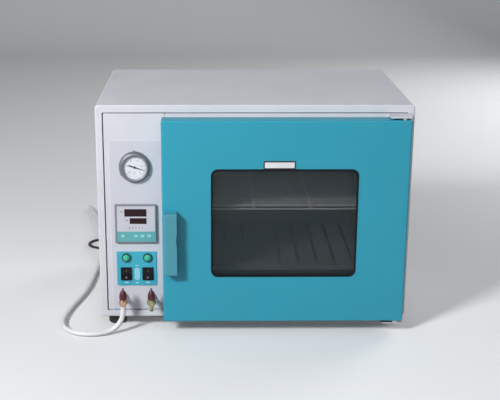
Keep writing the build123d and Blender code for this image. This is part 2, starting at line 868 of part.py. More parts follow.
for name, x in zip(("left", "right"), rocker_x):
    tilted = Plane(
        origin=(x - rocker_width / 2, rocker_pivot_y, rocker_z),
        x_dir=(0, cos(radians(rocker_tilt)), sin(radians(-rocker_tilt))),
        z_dir=(1, 0, 0),
    )
    end_angle = degrees(atan2(rocker_end, -rocker_rise - rocker_end * tan(radians(rocker_tilt))))
    end_x = -rocker_rise - rocker_end * tan(radians(rocker_tilt))
    reach = sqrt(end_x**2 + rocker_end**2)
    back_z = sqrt(reach**2 - rocker_back**2)
    with BuildPart() as rocker:
        # a shallow V faces the user, and both ends are arcs about the pivot
        with BuildSketch(tilted):
            with BuildLine():
                Polyline((end_x, rocker_end), (-rocker_rise, 0), (end_x, -rocker_end))
                ThreePointArc((end_x, -rocker_end), (0, -reach), (rocker_back, -back_z))
                Line((rocker_back, -back_z), (rocker_back, back_z))
                ThreePointArc((rocker_back, back_z), (0, reach), (end_x, rocker_end))
            make_face()
        extrude(amount=rocker_width)
    rocker.part.label = f"rocker_{name}"
    export_step(rocker.part, f"parts/rocker_{name}.step")

# ---- needle valves for the pump line and the air inlet ----

nipple_end = 54
nipple_radius = 4
nipple_bore = 2.2
body_foot = 65
body_waist = 72.5
body_radius = 10.2
body_top = 83
knob_radius = 8.9
knob_top = 104.5
spindle_top = 111
spindle_radius = 2.2
valve_stub_rear = -196

for name, x in zip(("left", "right"), valve_x):
    with BuildPart() as valve_body:
        # the hose nipple, the turned body and the neck for the spindle
        with BuildSketch(Plane(origin=(x, valve_y, 0), x_dir=(1, 0, 0), z_dir=(0, -1, 0))):
            with BuildLine():
                Polyline(
                    (nipple_bore, nipple_end),
                    (nipple_radius - 0.8, nipple_end),
                    (nipple_radius, nipple_end + 1.5),
                    (nipple_radius, body_foot),
                    (6, body_foot + 0.6),
                    (6.6, body_foot + 2.6),
                    (body_radius - 0.8, body_waist - 1.2),
                    (body_radius, body_waist),
                    (body_radius, body_top - 3.6),
                    (body_radius - 1.4, body_top - 2.4),
                    (body_radius - 2.2, body_top),
                    (spindle_radius + 0.06, body_top),
                    (spindle_radius + 0.06, body_waist + 1),
                    (nipple_bore, body_waist - 1),
                    close=True,
                )
            make_face()
        revolve(axis=Axis((x, valve_y, 0), (0, 0, 1)))
        # the arm that screws through the panel, with its collar and lock nut
        arm_start = valve_y + spindle_radius + 3
        with BuildSketch(upright(valve_stub_rear)):
            with Locations((x, valve_port_z)):
                Circle(5.2)
        extrude(amount=valve_stub_rear - arm_start)
        with BuildSketch(upright(fascia_front)):
            with Locations((x, valve_port_z)):
                RegularPolygon(9.5, 6)
        extrude(amount=5)
        with BuildSketch(upright(fascia_front - 5)):
            with Locations((x, valve_port_z)):
                Circle(7)
        extrude(amount=3)
    valve_body.part.label = f"valve_body_{name}"
    export_step(valve_body.part, f"parts/valve_body_{name}.step")

    with BuildPart() as valve_knob:
        knob_foot = body_top + 0.4
        with BuildSketch(Plane(origin=(x, valve_y, 0), x_dir=(1, 0, 0), z_dir=(0, -1, 0))):
            with BuildLine():
                Polyline(
                    (knob_radius / 2, knob_top),
                    (spindle_radius, knob_top),
                    (spindle_radius, spindle_top - 0.8),
                    (spindle_radius - 0.8, spindle_top),
                    (0, spindle_top),
                    (0, body_waist + 2.5),
                    (spindle_radius, body_waist + 4.5),
                    (spindle_radius, knob_foot),
                    (knob_radius - 1.2, knob_foot),
                    (knob_radius, knob_foot + 2.5),
                    (knob_radius, knob_foot + 6),
                )
                # the grip's shoulder closes in towards the spindle
                ThreePointArc(
                    (knob_radius, knob_foot + 6),
                    (knob_radius - 1.1, knob_foot + 13.5),
                    (knob_radius / 2, knob_top),
                )
            make_face()
        revolve(axis=Axis((x, valve_y, 0), (0, 0, 1)))
        # finger flutes round the grip
        with BuildSketch(level(knob_foot)):
            with Locations((x, valve_y)):
                with PolarLocations(10.2, 8):
                    Circle(2.4)
        extrude(amount=knob_top - knob_foot, mode=Mode.SUBTRACT)
    valve_knob.part.label = f"valve_knob_{name}"
    export_step(valve_knob.part, f"parts/valve_knob_{name}.step")

with BuildPart() as vacuum_pipe:
    pipe_start = valve_stub_rear
    # a hairpin joins the two valves
    hairpin = [
        (valve_x[0], pipe_start, valve_port_z),
        (valve_x[0], branch_y, valve_port_z),
        (valve_x[1], branch_y, valve_port_z),
        (valve_x[1], pipe_start, valve_port_z),
    ]
    with BuildLine():
        FilletPolyline(*hairpin, radius=22)
    with BuildSketch(upright(pipe_start)):
        with Locations((valve_x[0], valve_port_z)):
            Circle(pipe_radius)
    sweep()
    # the riser to the gauge
    riser = [
        (panel_x, branch_y, valve_port_z),
        (panel_x, branch_y, gauge_z),
        (panel_x, gauge_stub_end, gauge_z),
    ]
    with BuildLine():
        FilletPolyline(*riser, radius=20)
    with BuildSketch(level(valve_port_z)):
        with Locations((panel_x, branch_y)):
            Circle(pipe_radius)
    sweep()
    # the branch to the chamber's port
    with BuildSketch(Plane.YZ.offset(panel_x)):
        with Locations((branch_y, branch_z)):
            Circle(pipe_radius)
    extrude(amount=chamber_left - panel_x)
vacuum_pipe.part.label = "vacuum_pipe"
export_step(vacuum_pipe.part, "parts/vacuum_pipe.step")

with BuildPart() as terminal_block:
    block_y = 200
    block_bottom = pan_bottom + sheet
    with BuildSketch(level(block_bottom)):
        with Locations((panel_x, block_y)):
            Rectangle(104, 30)
    extrude(amount=24)
    with BuildSketch(level(block_bottom + 24)):
        with Locations((panel_x, block_y)):
            with GridLocations(16, 0, 6, 1):
                Rectangle(11, 30)
    extrude(amount=-10, mode=Mode.SUBTRACT)
    with BuildSketch(level(block_bottom + 14)):
        with Locations((panel_x, block_y)):
            with GridLocations(16, 16, 6, 2):
                Circle(3)
    extrude(amount=3)
terminal_block.part.label = "terminal_block"
export_step(terminal_block.part, "parts/terminal_block.step")

# ---- hinge plates, catch, feet and screws ----

hinge_plate = 3
top_plate_z = 513
pin_depth = 20
bush_radius = 6.4
washer_radius = 8
washer_top = door_bottom - 0.3
plate_x = (hinge_plate_left + hinge_plate_right) / 2
plate_width = hinge_plate_right - hinge_plate_left

with BuildPart() as hinge_plate_top:
    with BuildSketch(level(top_plate_z)):
        with Locations((plate_x, (hinge_plate_front + cabinet_front) / 2)):
            RectangleRounded(plate_width, cabinet_front - hinge_plate_front, 3)
    extrude(amount=hinge_plate)
    # it folds down flat on the front frame
    with BuildSketch(upright(fascia_front)):
        with Locations((hinge_leg_x, top_plate_z + hinge_plate - 22)):
            Rectangle(40, 44)
    extrude(amount=fascia_front - cabinet_front)
    with BuildSketch(level(top_plate_z + hinge_plate)):
        with Locations((hinge_x, hinge_y)):
            Circle(pin_radius)
    extrude(amount=-hinge_plate - pin_depth)
    with BuildSketch(upright(fascia_front)):
        with Locations((hinge_leg_x, hinge_leg_z)):
            with GridLocations(*hinge_screw_pitch, 2, 2):
                Circle(2.1)
    extrude(amount=fascia_front - cabinet_front, mode=Mode.SUBTRACT)
hinge_plate_top.part.label = "hinge_plate_top"
export_step(hinge_plate_top.part, "parts/hinge_plate_top.step")

with BuildPart() as hinge_plate_bottom:
    bottom_plate_rear = cabinet_front + 15
    with BuildSketch(level(cabinet_bottom - hinge_plate)):
        with Locations((plate_x, (hinge_plate_front + bottom_plate_rear) / 2)):
            RectangleRounded(plate_width, bottom_plate_rear - hinge_plate_front, 3)
    extrude(amount=hinge_plate)
    with BuildSketch(level(cabinet_bottom)):
        with Locations((hinge_x, hinge_y)):
            Circle(washer_radius)
    extrude(amount=washer_top - cabinet_bottom)
    with BuildSketch(level(cabinet_bottom - hinge_plate)):
        with Locations((hinge_x, hinge_y)):
            Circle(pin_radius)
    extrude(amount=hinge_plate + pin_depth)
hinge_plate_bottom.part.label = "hinge_plate_bottom"
export_step(hinge_plate_bottom.part, "parts/hinge_plate_bottom.step")

catch_x = -186
catch_z = 228
catch_plate = 1.2
catch_gap = 0.3

with BuildPart() as catch_magnet:
    magnet_front = door_rear + catch_plate + catch_gap
    with BuildSketch(upright(fascia_front)):
        with Locations((catch_x, catch_z)):
            RectangleRounded(16, 56, 2)
    extrude(amount=fascia_front - magnet_front)
    # two pole strips stand in a shallow pocket between the screw ears
    with BuildSketch(upright(magnet_front + 1.5)):
        with Locations((catch_x, catch_z)):
            Rectangle(12, 34)
            with GridLocations(7, 0, 2, 1):
                Rectangle(2, 34, mode=Mode.SUBTRACT)
    extrude(amount=1.5, mode=Mode.SUBTRACT)
catch_magnet.part.label = "catch_magnet"
export_step(catch_magnet.part, "parts/catch_magnet.step")

with BuildPart() as feet:
    # moulded rubber cups, each with a recess for its screw
    for x, y in foot_places:
        with BuildSketch(Plane(origin=(x, y, 0), x_dir=(1, 0, 0), z_dir=(0, -1, 0))):
            with BuildLine():
                Polyline(
                    (3.3, 9),
                    (8, 9),
                    (8, 0),
                    (19, 0),
                    (21, 2),
                    (22.5, foot_height),
                    (3.3, foot_height),
                    close=True,
                )
            make_face()
        revolve(axis=Axis((x, y, 0), (0, 0, 1)))
feet.part.label = "feet"
export_step(feet.part, "parts/feet.step")

with BuildPart() as cabinet_screws:
    head_height = cabinet_rear + 2 - rear_face
    # pan-head screws in the rear panel
    with BuildSketch(upright(rear_face)):
        with Locations(screw_places):
            Circle(4)
    extrude(amount=-head_height)
    fillet(cabinet_screws.faces().group_by(Axis.Y)[-1].edges(), 1.2)
    with BuildSketch(upright(rear_face)):
        with Locations(screw_places):
            Circle(2)
    extrude(amount=6)
    # foot screws, up through the flange and the base pan
    with BuildSketch(level(3)):
        with Locations(foot_places):
            RegularPolygon(6.2, 6)
    extrude(amount=6)
    with BuildSketch(level(9)):
        with Locations(foot_places):
            Circle(3.2)
    extrude(amount=pan_bottom + sheet + 6 - 9)
    # flat-headed screws in the top hinge plate
    with BuildSketch(upright(fascia_front + 4)):
        with Locations((hinge_leg_x, hinge_leg_z)):
            with GridLocations(*hinge_screw_pitch, 2, 2):
                Circle(2)
    extrude(amount=fascia_front + 4 - cabinet_front)
cabinet_screws.part.label = "cabinet_screws"
export_step(cabinet_screws.part, "parts/cabinet_screws.step")

# ---- door ----

cutout = (window_width - 2 * 2, window_height - 2 * 2)
clear_view = (window_width - 2 * trim_lip, window_height - 2 * trim_lip)

with BuildPart() as door_shell:
    with BuildSketch(upright(door_rear)):
        with Locations((door_x, door_z)):
            RectangleRounded(door_width, door_height, door_edge)
    extrude(amount=door_rear - door_front)
    fillet(door_shell.faces().sort_by(Axis.Y)[0].edges(), door_edge - 0.2)
    offset(amount=-door_sheet, openings=door_shell.faces().sort_by(Axis.Y)[-1])
    with BuildSketch(upright(door_front + door_sheet)):
        with Locations((window_x, window_z)):
            RectangleRounded(*cutout, window_radius - 2)
    extrude(amount=door_sheet, mode=Mode.SUBTRACT)
    with BuildSketch(level(door_bottom)):
        with Locations((hinge_x, hinge_y)):
            Circle(bush_radius)
    extrude(amount=door_height, mode=Mode.SUBTRACT)
door_shell.part.label = "door_shell"
export_step(door_shell.part, "parts/door_shell.step")

bush_block = 20
bush_front = hinge_y - 6.4
bush_rear = hinge_y + 10

with BuildPart() as hinge_bushes:
    for end, inward in ((door_top, -1), (door_bottom, 1)):
        inner_face = end + inward * door_sheet
        with BuildSketch(level(inner_face)):
            with Locations((hinge_x, (bush_front + bush_rear) / 2)):
                Rectangle(bush_block, bush_rear - bush_front)
        extrude(amount=inward * bush_block)
        with BuildSketch(level(end)):
            with Locations((hinge_x, hinge_y)):
                Circle(bush_radius)
        extrude(amount=inward * door_sheet)
    with BuildSketch(level(door_bottom)):
        with Locations((hinge_x, hinge_y)):
            Circle(pin_radius + pin_clearance)
    extrude(amount=door_height, mode=Mode.SUBTRACT)
hinge_bushes.part.label = "hinge_bushes"
export_step(hinge_bushes.part, "parts/hinge_bushes.step")

pane_front = door_front + 3
pane_rear = pane_front + 4
ledge_front = -231
ledge_rear = ledge_front + sheet
well = (glass_width + 4, glass_height + 4)
tunnel = (window_width + 8, window_height + 8)

with BuildPart() as door_liner:
    with BuildSketch(upright(door_rear)):
        with Locations((door_x, door_z)):
            RectangleRounded(door_width - 2 * door_sheet - 1, door_height - 2 * door_sheet - 1, 3)
        with Locations((chamber_x, chamber_z)):
            RectangleRounded(*well, glass_radius + 2, mode=Mode.SUBTRACT)
    extrude(amount=sheet)
    # the well for the inner glass
    with BuildSketch(upright(door_rear)):
        rim(
            (chamber_x, chamber_z),
            (well[0] + 2 * sheet, well[1] + 2 * sheet),
            well,
            glass_radius + 2 + sheet,
            glass_radius + 2,
        )
    extrude(amount=door_rear - ledge_front)
    with BuildSketch(upright(ledge_rear)):
        rim(
            (chamber_x, chamber_z),
            (well[0] + sheet, well[1] + sheet),
            tunnel,
            glass_radius + 2,
            window_radius,
        )
    extrude(amount=sheet)
    # a tunnel carries the well's step forwards to the outer pane
    with BuildSketch(upright(ledge_rear)):
        rim(
            (chamber_x, chamber_z),
            (tunnel[0] + 2 * sheet, tunnel[1] + 2 * sheet),
            tunnel,
            window_radius + sheet,
            window_radius,
        )
    extrude(amount=ledge_rear - pane_rear)
door_liner.part.label = "door_liner"
export_step(door_liner.part, "parts/door_liner.step")

with BuildPart() as outer_glass:
    with BuildSketch(upright(pane_rear)):
        with Locations((window_x, chamber_z)):
            RectangleRounded(tunnel[0] + 8, tunnel[1] + 8, window_radius + 4)
    extrude(amount=pane_rear - pane_front)
outer_glass.part.label = "outer_glass"
export_step(outer_glass.part, "parts/outer_glass.step")

with BuildPart() as window_trim:
    # the rubber grips the cut edge of the door's skin and seats on the outer pane
    for front, rear, outside, radius in (
        (door_front - 1.5, door_front, (window_width, window_height), window_radius),
        (door_front, door_front + door_sheet, cutout, window_radius - 2),
        (door_front + door_sheet, pane_front, (window_width, window_height), window_radius),
    ):
        with BuildSketch(upright(rear)):
            rim((window_x, window_z), outside, clear_view, radius, window_radius - trim_lip)
        extrude(amount=rear - front)
    front_edges = window_trim.faces().sort_by(Axis.Y)[0].edges()
    fillet(front_edges, 1)
window_trim.part.label = "window_trim"
export_step(window_trim.part, "parts/window_trim.step")

glass_front = glass_rear - glass_thickness

with BuildPart() as inner_glass:
    with BuildSketch(upright(glass_rear)):
        with Locations((chamber_x, chamber_z)):
            RectangleRounded(glass_width, glass_height, glass_radius)
    extrude(amount=glass_thickness)
    chamfer(inner_glass.faces().sort_by(Axis.Y)[0].edges(), 1)
    chamfer(inner_glass.faces().sort_by(Axis.Y)[-1].edges(), 1)
inner_glass.part.label = "inner_glass"
export_step(inner_glass.part, "parts/inner_glass.step")

clip_places = [(x, side) for x in (-150, 0, 150) for side in (-1, 1)]
buffer_x = flange_width / 2 - 30
buffer_z = flange_height / 2 - 30

with BuildPart() as glass_clips:
    # folded clips hold the glass back in its well against silicone buffers
    for x, side in clip_places:
        edge = chamber_z + side * well[1] / 2
        with BuildSketch(Plane.YZ.offset(chamber_x + x - 9)):
            with BuildLine():
                Polyline(
                    (door_rear, edge + side * 16),
                    (door_rear + 1.2, edge + side * 16),
                    (door_rear + 1.2, edge - side * 5),
                    (glass_rear, edge - side * 5),
                    (glass_rear, edge - side * 3.8),
                    (door_rear, edge - side * 2),
                    close=True,
                )
            make_face()
        extrude(amount=18)
glass_clips.part.label = "glass_clips"
export_step(glass_clips.part, "parts/glass_clips.step")

with BuildPart() as glass_buffers:
    with BuildSketch(upright(glass_front)):
        with Locations((chamber_x, chamber_z)):
            with GridLocations(2 * buffer_x, 2 * buffer_z, 2, 2):
                Circle(7)
            with GridLocations(2 * buffer_x, 0, 2, 1):
                Circle(7)
    extrude(amount=glass_front - ledge_rear)
glass_buffers.part.label = "glass_buffers"
export_step(glass_buffers.part, "parts/glass_buffers.step")

with BuildPart() as catch_strike:
    with BuildSketch(upright(door_rear + catch_plate)):
        with Locations((catch_x, catch_z)):
            RectangleRounded(16, 56, 3)
            with GridLocations(0, 44, 1, 2):
                Circle(2, mode=Mode.SUBTRACT)
    extrude(amount=catch_plate)
catch_strike.part.label = "catch_strike"
export_step(catch_strike.part, "parts/catch_strike.step")

handle_x = (-205, -176.8)
handle_z = (153, 300)
handle_front = -277
handle_sheet = 2
notch_radius = 47

with BuildPart() as handle:
    # a folded pull: closed at its left side and both ends, open to the right for the fingers
    handle_width = handle_x[1] - handle_x[0]
    handle_height = handle_z[1] - handle_z[0]
    handle_middle = (sum(handle_x) / 2, sum(handle_z) / 2)
    with BuildSketch(upright(door_front)):
        with Locations(handle_middle):
            Rectangle(handle_width, handle_height)
    extrude(amount=door_front - handle_front)
    front_face = handle.faces().sort_by(Axis.Y)[0]
    fillet(front_face.edges().sort_by(Axis.X)[0:-1], 4)
    with BuildSketch(upright(door_front - handle_sheet)):
        with Locations((handle_middle[0] + handle_sheet, handle_middle[1])):
            Rectangle(handle_width, handle_height - 2 * handle_sheet)
    extrude(amount=door_front - handle_front - 2 * handle_sheet, mode=Mode.SUBTRACT)
    # a long shallow finger notch halfway up the free edge
    with BuildSketch(upright(door_front - handle_sheet)):
        with Locations((handle_x[1] + notch_radius - 2, handle_middle[1] + 10)):
            Circle(notch_radius)
    extrude(amount=30, mode=Mode.SUBTRACT)
handle.part.label = "handle"
export_step(handle.part, "parts/handle.step")

label_x = 54.2
label_bottom = window_z + window_height / 2 + 0.4
label_size = (72, 18.4)

with BuildPart() as label_holder:
    with BuildSketch(upright(door_front)):
        with Locations((label_x, label_bottom + label_size[1] / 2)):
            RectangleRounded(*label_size, 1.5)
    extrude(amount=2)
    fillet(label_holder.faces().sort_by(Axis.Y)[0].edges(), 0.6)
    with BuildSketch(upright(door_front - 1)):
        with Locations((label_x, label_bottom + label_size[1] / 2)):
            Rectangle(label_size[0] - 5, label_size[1] - 5)
    extrude(amount=1, mode=Mode.SUBTRACT)
label_holder.part.label = "label_holder"
export_step(label_holder.part, "parts/label_holder.step")

with BuildPart() as label_insert:
    with BuildSketch(upright(door_front - 1)):
        with Locations((label_x, label_bottom + label_size[1] / 2)):
            Rectangle(label_size[0] - 5, label_size[1] - 5)
    extrude(amount=0.5)
label_insert.part.label = "label_insert"
export_step(label_insert.part, "parts/label_insert.step")

# ---- cords: the vacuum hose and the mains lead ----


def corner_radii(route):
    """Each corner's arc: 0.45 of its shorter run over the tangent of half its turn."""
    radii = []
    for before, corner, after in zip(route, route[1:], route[2:]):
        arriving = Vector(corner) - Vector(before)
        leaving = Vector(after) - Vector(corner)
        half_turn = radians(arriving.get_angle(leaving)) / 2
        radii.append(0.45 * min(arriving.length, leaving.length) / tan(half_turn))
    return radii


hose_radius = 6
hose_floor = hose_radius
hose_crossing = hose_floor + 11  # over the mains lead
hose_route = [
    (valve_x[0], valve_y, body_foot + 1.3),
    (valve_x[0], valve_y, 46.3),
    (-311.5, -242.6, 27.8),
    (-324.8, -247.4, 13.7),
    (-342, -253.7, hose_floor),
    (-368, -263.5, hose_floor),
    (-397, -263.2, hose_floor),
    (-423.5, -251.4, hose_floor),
    (-443.6, -229, hose_floor),
    (-454, -197, hose_floor),
    (-453, -147, hose_floor),
    (-440.5, -78, hose_floor),
    (-424, -10, hose_floor),
    (-414, 59, hose_floor),
    (-411, 129, hose_floor),
    (-406.5, 197, hose_floor),
    (-407.5, 258, hose_floor),
    (-409.3, 310, hose_floor + 2),
    (-411, 360, hose_crossing),
    (-417, 462, hose_crossing),
    (-425.5, 513, hose_floor + 2),
    (-435.5, 565, hose_floor),
    (-446.5, 622, hose_floor),
    (-459.5, 679, hose_floor),
    (-473.5, 733, hose_floor),
    (-489, 786, hose_floor),
]
hose_radii = corner_radii(hose_route)
print("hose radii", [round(radius, 1) for radius in hose_radii])

with BuildPart() as vacuum_hose:
    with BuildLine() as hose_line:
        FilletPolyline(*hose_route, radius=hose_radii)
    with BuildSketch(level(hose_route[0][2])):
        with Locations(hose_route[0][:2]):
            Circle(hose_radius)
    sweep()
vacuum_hose.part.label = "vacuum_hose"
export_step(vacuum_hose.part, "parts/vacuum_hose.step")
hose_length = hose_line.wire().length
hose_volume = hose_length * 3.14159265 * hose_radius**2
print("hose length", round(hose_length, 1), "volume ratio", round(vacuum_hose.part.volume / hose_volume, 4))

gland_end = rear_face + 32
lead_radius = 3.5
lead_floor = lead_radius

with BuildPart() as mains_gland:
    with BuildSketch(Plane(origin=(gland_x, 0, gland_z), x_dir=(1, 0, 0), z_dir=(0, 0, 1))):
        with BuildLine():
            Polyline(
                (0, rear_face - 6),
                (gland_hole - 0.2, rear_face - 6),
                (gland_hole - 0.2, rear_face),
                (11, rear_face),
                (11, rear_face + 4),
                (7.4, rear_face + 6),
                (4.8, gland_end),
                (0, gland_end),
                close=True,
            )
        make_face()
    revolve(axis=Axis((gland_x, 0, gland_z), (0, 1, 0)))
mains_gland.part.label = "mains_gland"
export_step(mains_gland.part, "parts/mains_gland.step")

coil_x = -212
coil_y = 347
coil_inner = 31
coil_outer = 49
coil_height = 22
lead_route = [
    (gland_x, gland_end, gland_z),
    (gland_x, gland_end + 24, gland_z),
    (-303, gland_end + 49.5, 58),
    (-311, gland_end + 73.5, 32),
    (-325, gland_end + 98, 11),
    (-348, gland_end + 121.5, lead_floor),
    (-382, gland_end + 141, lead_floor),
    (-416, gland_end + 149.5, lead_floor),
    (-439.6, gland_end + 140, lead_floor),
    (-453.2, gland_end + 118.3, lead_floor),
    (-451.4, gland_end + 93, lead_floor),
    (-435, gland_end + 73.3, lead_floor),
    (-406, gland_end + 66, lead_floor),
    (-364, gland_end + 56.5, lead_floor),
    (-323, gland_end + 41.5, lead_floor),
    (-282, gland_end + 20.5, lead_floor),
    (-240, gland_end + 3, lead_floor + 3),
]
lead_radii = corner_radii(lead_route)
print("lead radii", [round(radius, 1) for radius in lead_radii])

with BuildPart() as mains_lead:
    with BuildLine() as lead_line:
        FilletPolyline(*lead_route, radius=lead_radii)
    with BuildSketch(Plane(origin=lead_route[0], x_dir=(1, 0, 0), z_dir=lead_line.wire() % 0)):
        Circle(lead_radius)
    sweep()
mains_lead.part.label = "mains_lead"
export_step(mains_lead.part, "parts/mains_lead.step")
lead_length = lead_line.wire().length
lead_volume = lead_length * 3.14159265 * lead_radius**2
print("lead length", round(lead_length, 1), "volume ratio", round(mains_lead.part.volume / lead_volume, 4))

with BuildPart() as mains_coil:
    with BuildSketch(Plane(origin=(coil_x, coil_y, 0), x_dir=(1, 0, 0), z_dir=(0, -1, 0))):
        with Locations(((coil_inner + coil_outer) / 2, coil_height / 2)):
            RectangleRounded(coil_outer - coil_inner, coil_height, 5)
    revolve(axis=Axis((coil_x, coil_y, 0), (0, 0, 1)))
mains_coil.part.label = "mains_coil"
export_step(mains_coil.part, "parts/mains_coil.step")

plug_x = coil_x + 42
plug_start = coil_y + 26
plug_height = 24

with BuildPart() as mains_plug:
    # a generic moulded plug with two flat blades and a round earth pin
    with BuildSketch(upright(plug_start)):
        with Locations((plug_x, plug_height / 2)):
            RectangleRounded(12, 12, 4)
    with BuildSketch(upright(plug_start + 18)):
        with Locations((plug_x, plug_height / 2)):
            RectangleRounded(30, plug_height, 6)
    loft()
    with BuildSketch(upright(plug_start + 40)):
        with Locations((plug_x, plug_height / 2)):
            RectangleRounded(30, plug_height, 6)
    extrude(amount=22)
    with BuildSketch(upright(plug_start + 57)):
        with Locations((plug_x, plug_height / 2)):
            with Locations((-6.5, -2), (6.5, -2)):
                Rectangle(1.6, 6.4)
            with Locations((0, 6.5)):
                Circle(2.3)
    extrude(amount=17)
mains_plug.part.label = "mains_plug"
export_step(mains_plug.part, "parts/mains_plug.step")
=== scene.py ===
import bmesh
import bpy
import json
import numpy as np
from math import cos, pi, radians, sin
from mathutils import Matrix, Vector


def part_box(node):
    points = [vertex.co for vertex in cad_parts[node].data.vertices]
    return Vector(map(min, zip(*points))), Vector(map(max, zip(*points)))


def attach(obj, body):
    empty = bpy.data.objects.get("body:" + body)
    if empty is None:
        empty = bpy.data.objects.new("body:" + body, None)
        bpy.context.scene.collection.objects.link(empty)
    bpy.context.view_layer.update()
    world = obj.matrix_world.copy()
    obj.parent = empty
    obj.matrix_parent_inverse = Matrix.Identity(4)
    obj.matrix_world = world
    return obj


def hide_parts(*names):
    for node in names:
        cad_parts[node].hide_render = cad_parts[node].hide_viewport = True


# A bench vacuum oven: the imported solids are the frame, and this file gives them their finish,
# the cords, the printed marks and the small turned and moulded pieces. Metres throughout.

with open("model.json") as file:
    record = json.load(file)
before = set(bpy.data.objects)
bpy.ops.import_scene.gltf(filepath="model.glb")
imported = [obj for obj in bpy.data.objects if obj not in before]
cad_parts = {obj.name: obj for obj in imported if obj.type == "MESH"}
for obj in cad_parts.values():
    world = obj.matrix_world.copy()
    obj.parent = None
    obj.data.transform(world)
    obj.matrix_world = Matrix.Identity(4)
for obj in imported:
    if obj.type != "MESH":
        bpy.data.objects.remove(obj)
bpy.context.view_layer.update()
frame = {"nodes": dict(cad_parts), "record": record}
nodes = frame["nodes"]
scene = bpy.context.scene

cameraSet = {
    "place": (-0.10158, -2.65995, 1.02167),
    "yaw": 0.01406,  # radians towards +X
    "pitch": 0.30768,  # radians downwards
    "roll": 0.00242,
    "lens": 80.01,
    "sensor": 36,
    "shift": (0.05, 0.06),
    "sees": 60,  # how far
}


def makeCamera(settings):
    yaw, pitch, roll = settings["yaw"], settings["pitch"], settings["roll"]
    ahead = Vector((sin(yaw) * cos(pitch), cos(yaw) * cos(pitch), -sin(pitch)))
    side = Vector((cos(yaw), -sin(yaw), 0))
    level = side.cross(ahead)
    rightward = side * cos(roll) + level * sin(roll)
    upward = rightward.cross(ahead)
    turn = Matrix((rightward, upward, -ahead)).transposed().to_4x4()
    data = bpy.data.cameras.new("camera")
    data.lens = settings["lens"]
    data.sensor_width = settings["sensor"]
    data.shift_x, data.shift_y = settings["shift"]
    data.clip_end = settings["sees"]
    camera = bpy.data.objects.new("camera", data)
    camera.matrix_world = Matrix.Translation(settings["place"]) @ turn
    scene.collection.objects.link(camera)
    scene.camera = camera


makeCamera(cameraSet)
print("camera set")


def newMaterial(name):
    material = bpy.data.materials.new(name)
    material.use_nodes = True
    tree = material.node_tree
    return material, tree, tree.nodes["Principled BSDF"]


def addNode(tree, kind, **values):
    node = tree.nodes.new(kind)
    for key, value in values.items():
        if key in node.inputs:
            node.inputs[key].default_value = value
        else:
            setattr(node, key, value)
    return node


def join(tree, source, target):
    tree.links.new(source, target)


def objectPoint(tree, scale=(1, 1, 1)):
    coords = addNode(tree, "ShaderNodeTexCoord")
    mapping = addNode(tree, "ShaderNodeMapping")
    mapping.inputs["Scale"].default_value = scale
    join(tree, coords.outputs["Object"], mapping.inputs["Vector"])
    return mapping.outputs["Vector"]


def noise(tree, point, size, detail=3.0, rough=0.55):
    # size is the length of one blotch in metres
    texture = addNode(tree, "ShaderNodeTexNoise")
    texture.inputs["Scale"].default_value = 1 / size
    texture.inputs["Detail"].default_value = detail
    texture.inputs["Roughness"].default_value = rough
    join(tree, point, texture.inputs["Vector"])
    return texture.outputs["Fac"]


def spread(tree, factor, low, high, fromLow=0.3, fromHigh=0.7):
    ranged = addNode(tree, "ShaderNodeMapRange")
    ranged.inputs["From Min"].default_value = fromLow
    ranged.inputs["From Max"].default_value = fromHigh
    ranged.inputs["To Min"].default_value = low
    ranged.inputs["To Max"].default_value = high
    join(tree, factor, ranged.inputs["Value"])
    return ranged.outputs["Result"]


def ramp(tree, factor, *stops):
    # two stops, each a place between 0 and 1 and its colour
    node = addNode(tree, "ShaderNodeValToRGB")
    for element, (place, colour) in zip(node.color_ramp.elements, stops):
        element.position, element.color = place, (*colour, 1)
    join(tree, factor, node.inputs["Fac"])
    return node.outputs["Color"]


def shade(colour, amount):
    return tuple(max(0.0, min(1.0, channel * amount)) for channel in colour)


def bump(tree, shader, height, distance, strength=1.0):
    node = addNode(tree, "ShaderNodeBump")
    node.inputs["Strength"].default_value = strength
    node.inputs["Distance"].default_value = distance
    join(tree, height, node.inputs["Height"])
    join(tree, node.outputs["Normal"], shader.inputs["Normal"])


def paint(name, colour, rough=0.42, peel=0.0016, peelDepth=0.00006, cloud=0.12):
    # powder coat: orange-peel bumps a millimetre or two across, under a faint cloudiness
    material, tree, shader = newMaterial(name)
    point = objectPoint(tree)
    cloudy = noise(tree, point, cloud, 4)
    grain = noise(tree, point, 0.0009, 2)
    base = ramp(tree, cloudy, (0.3, shade(colour, 0.965)), (0.7, shade(colour, 1.03)))
    mix = addNode(tree, "ShaderNodeMix", data_type="RGBA", blend_type="MULTIPLY")
    mix.inputs["Factor"].default_value = 1
    join(tree, base, mix.inputs["A"])
    dark, light = (0.97, 0.97, 0.97), (1, 1, 1)
    join(tree, ramp(tree, grain, (0.3, dark), (0.7, light)), mix.inputs["B"])
    join(tree, mix.outputs["Result"], shader.inputs["Base Color"])
    join(tree, spread(tree, cloudy, rough - 0.04, rough + 0.05), shader.inputs["Roughness"])
    bump(tree, shader, noise(tree, point, peel, 2), peelDepth, 0.55)
    return material


def brushed(name, colour, along=(1, 60, 60), rough=0.32, depth=0.00003, metal=1.0):
    # metal drawn in one direction: long streaks, with the roughness following them
    material, tree, shader = newMaterial(name)
    streaks = noise(tree, objectPoint(tree, along), 0.05, 5, 0.7)
    smears = noise(tree, objectPoint(tree), 0.07, 3)
    base = ramp(tree, streaks, (0.25, shade(colour, 0.86)), (0.75, shade(colour, 1.08)))
    join(tree, base, shader.inputs["Base Color"])
    shader.inputs["Metallic"].default_value = metal
    join(tree, spread(tree, smears, rough - 0.06, rough + 0.1), shader.inputs["Roughness"])
    bump(tree, shader, streaks, depth, 0.5)
    return material


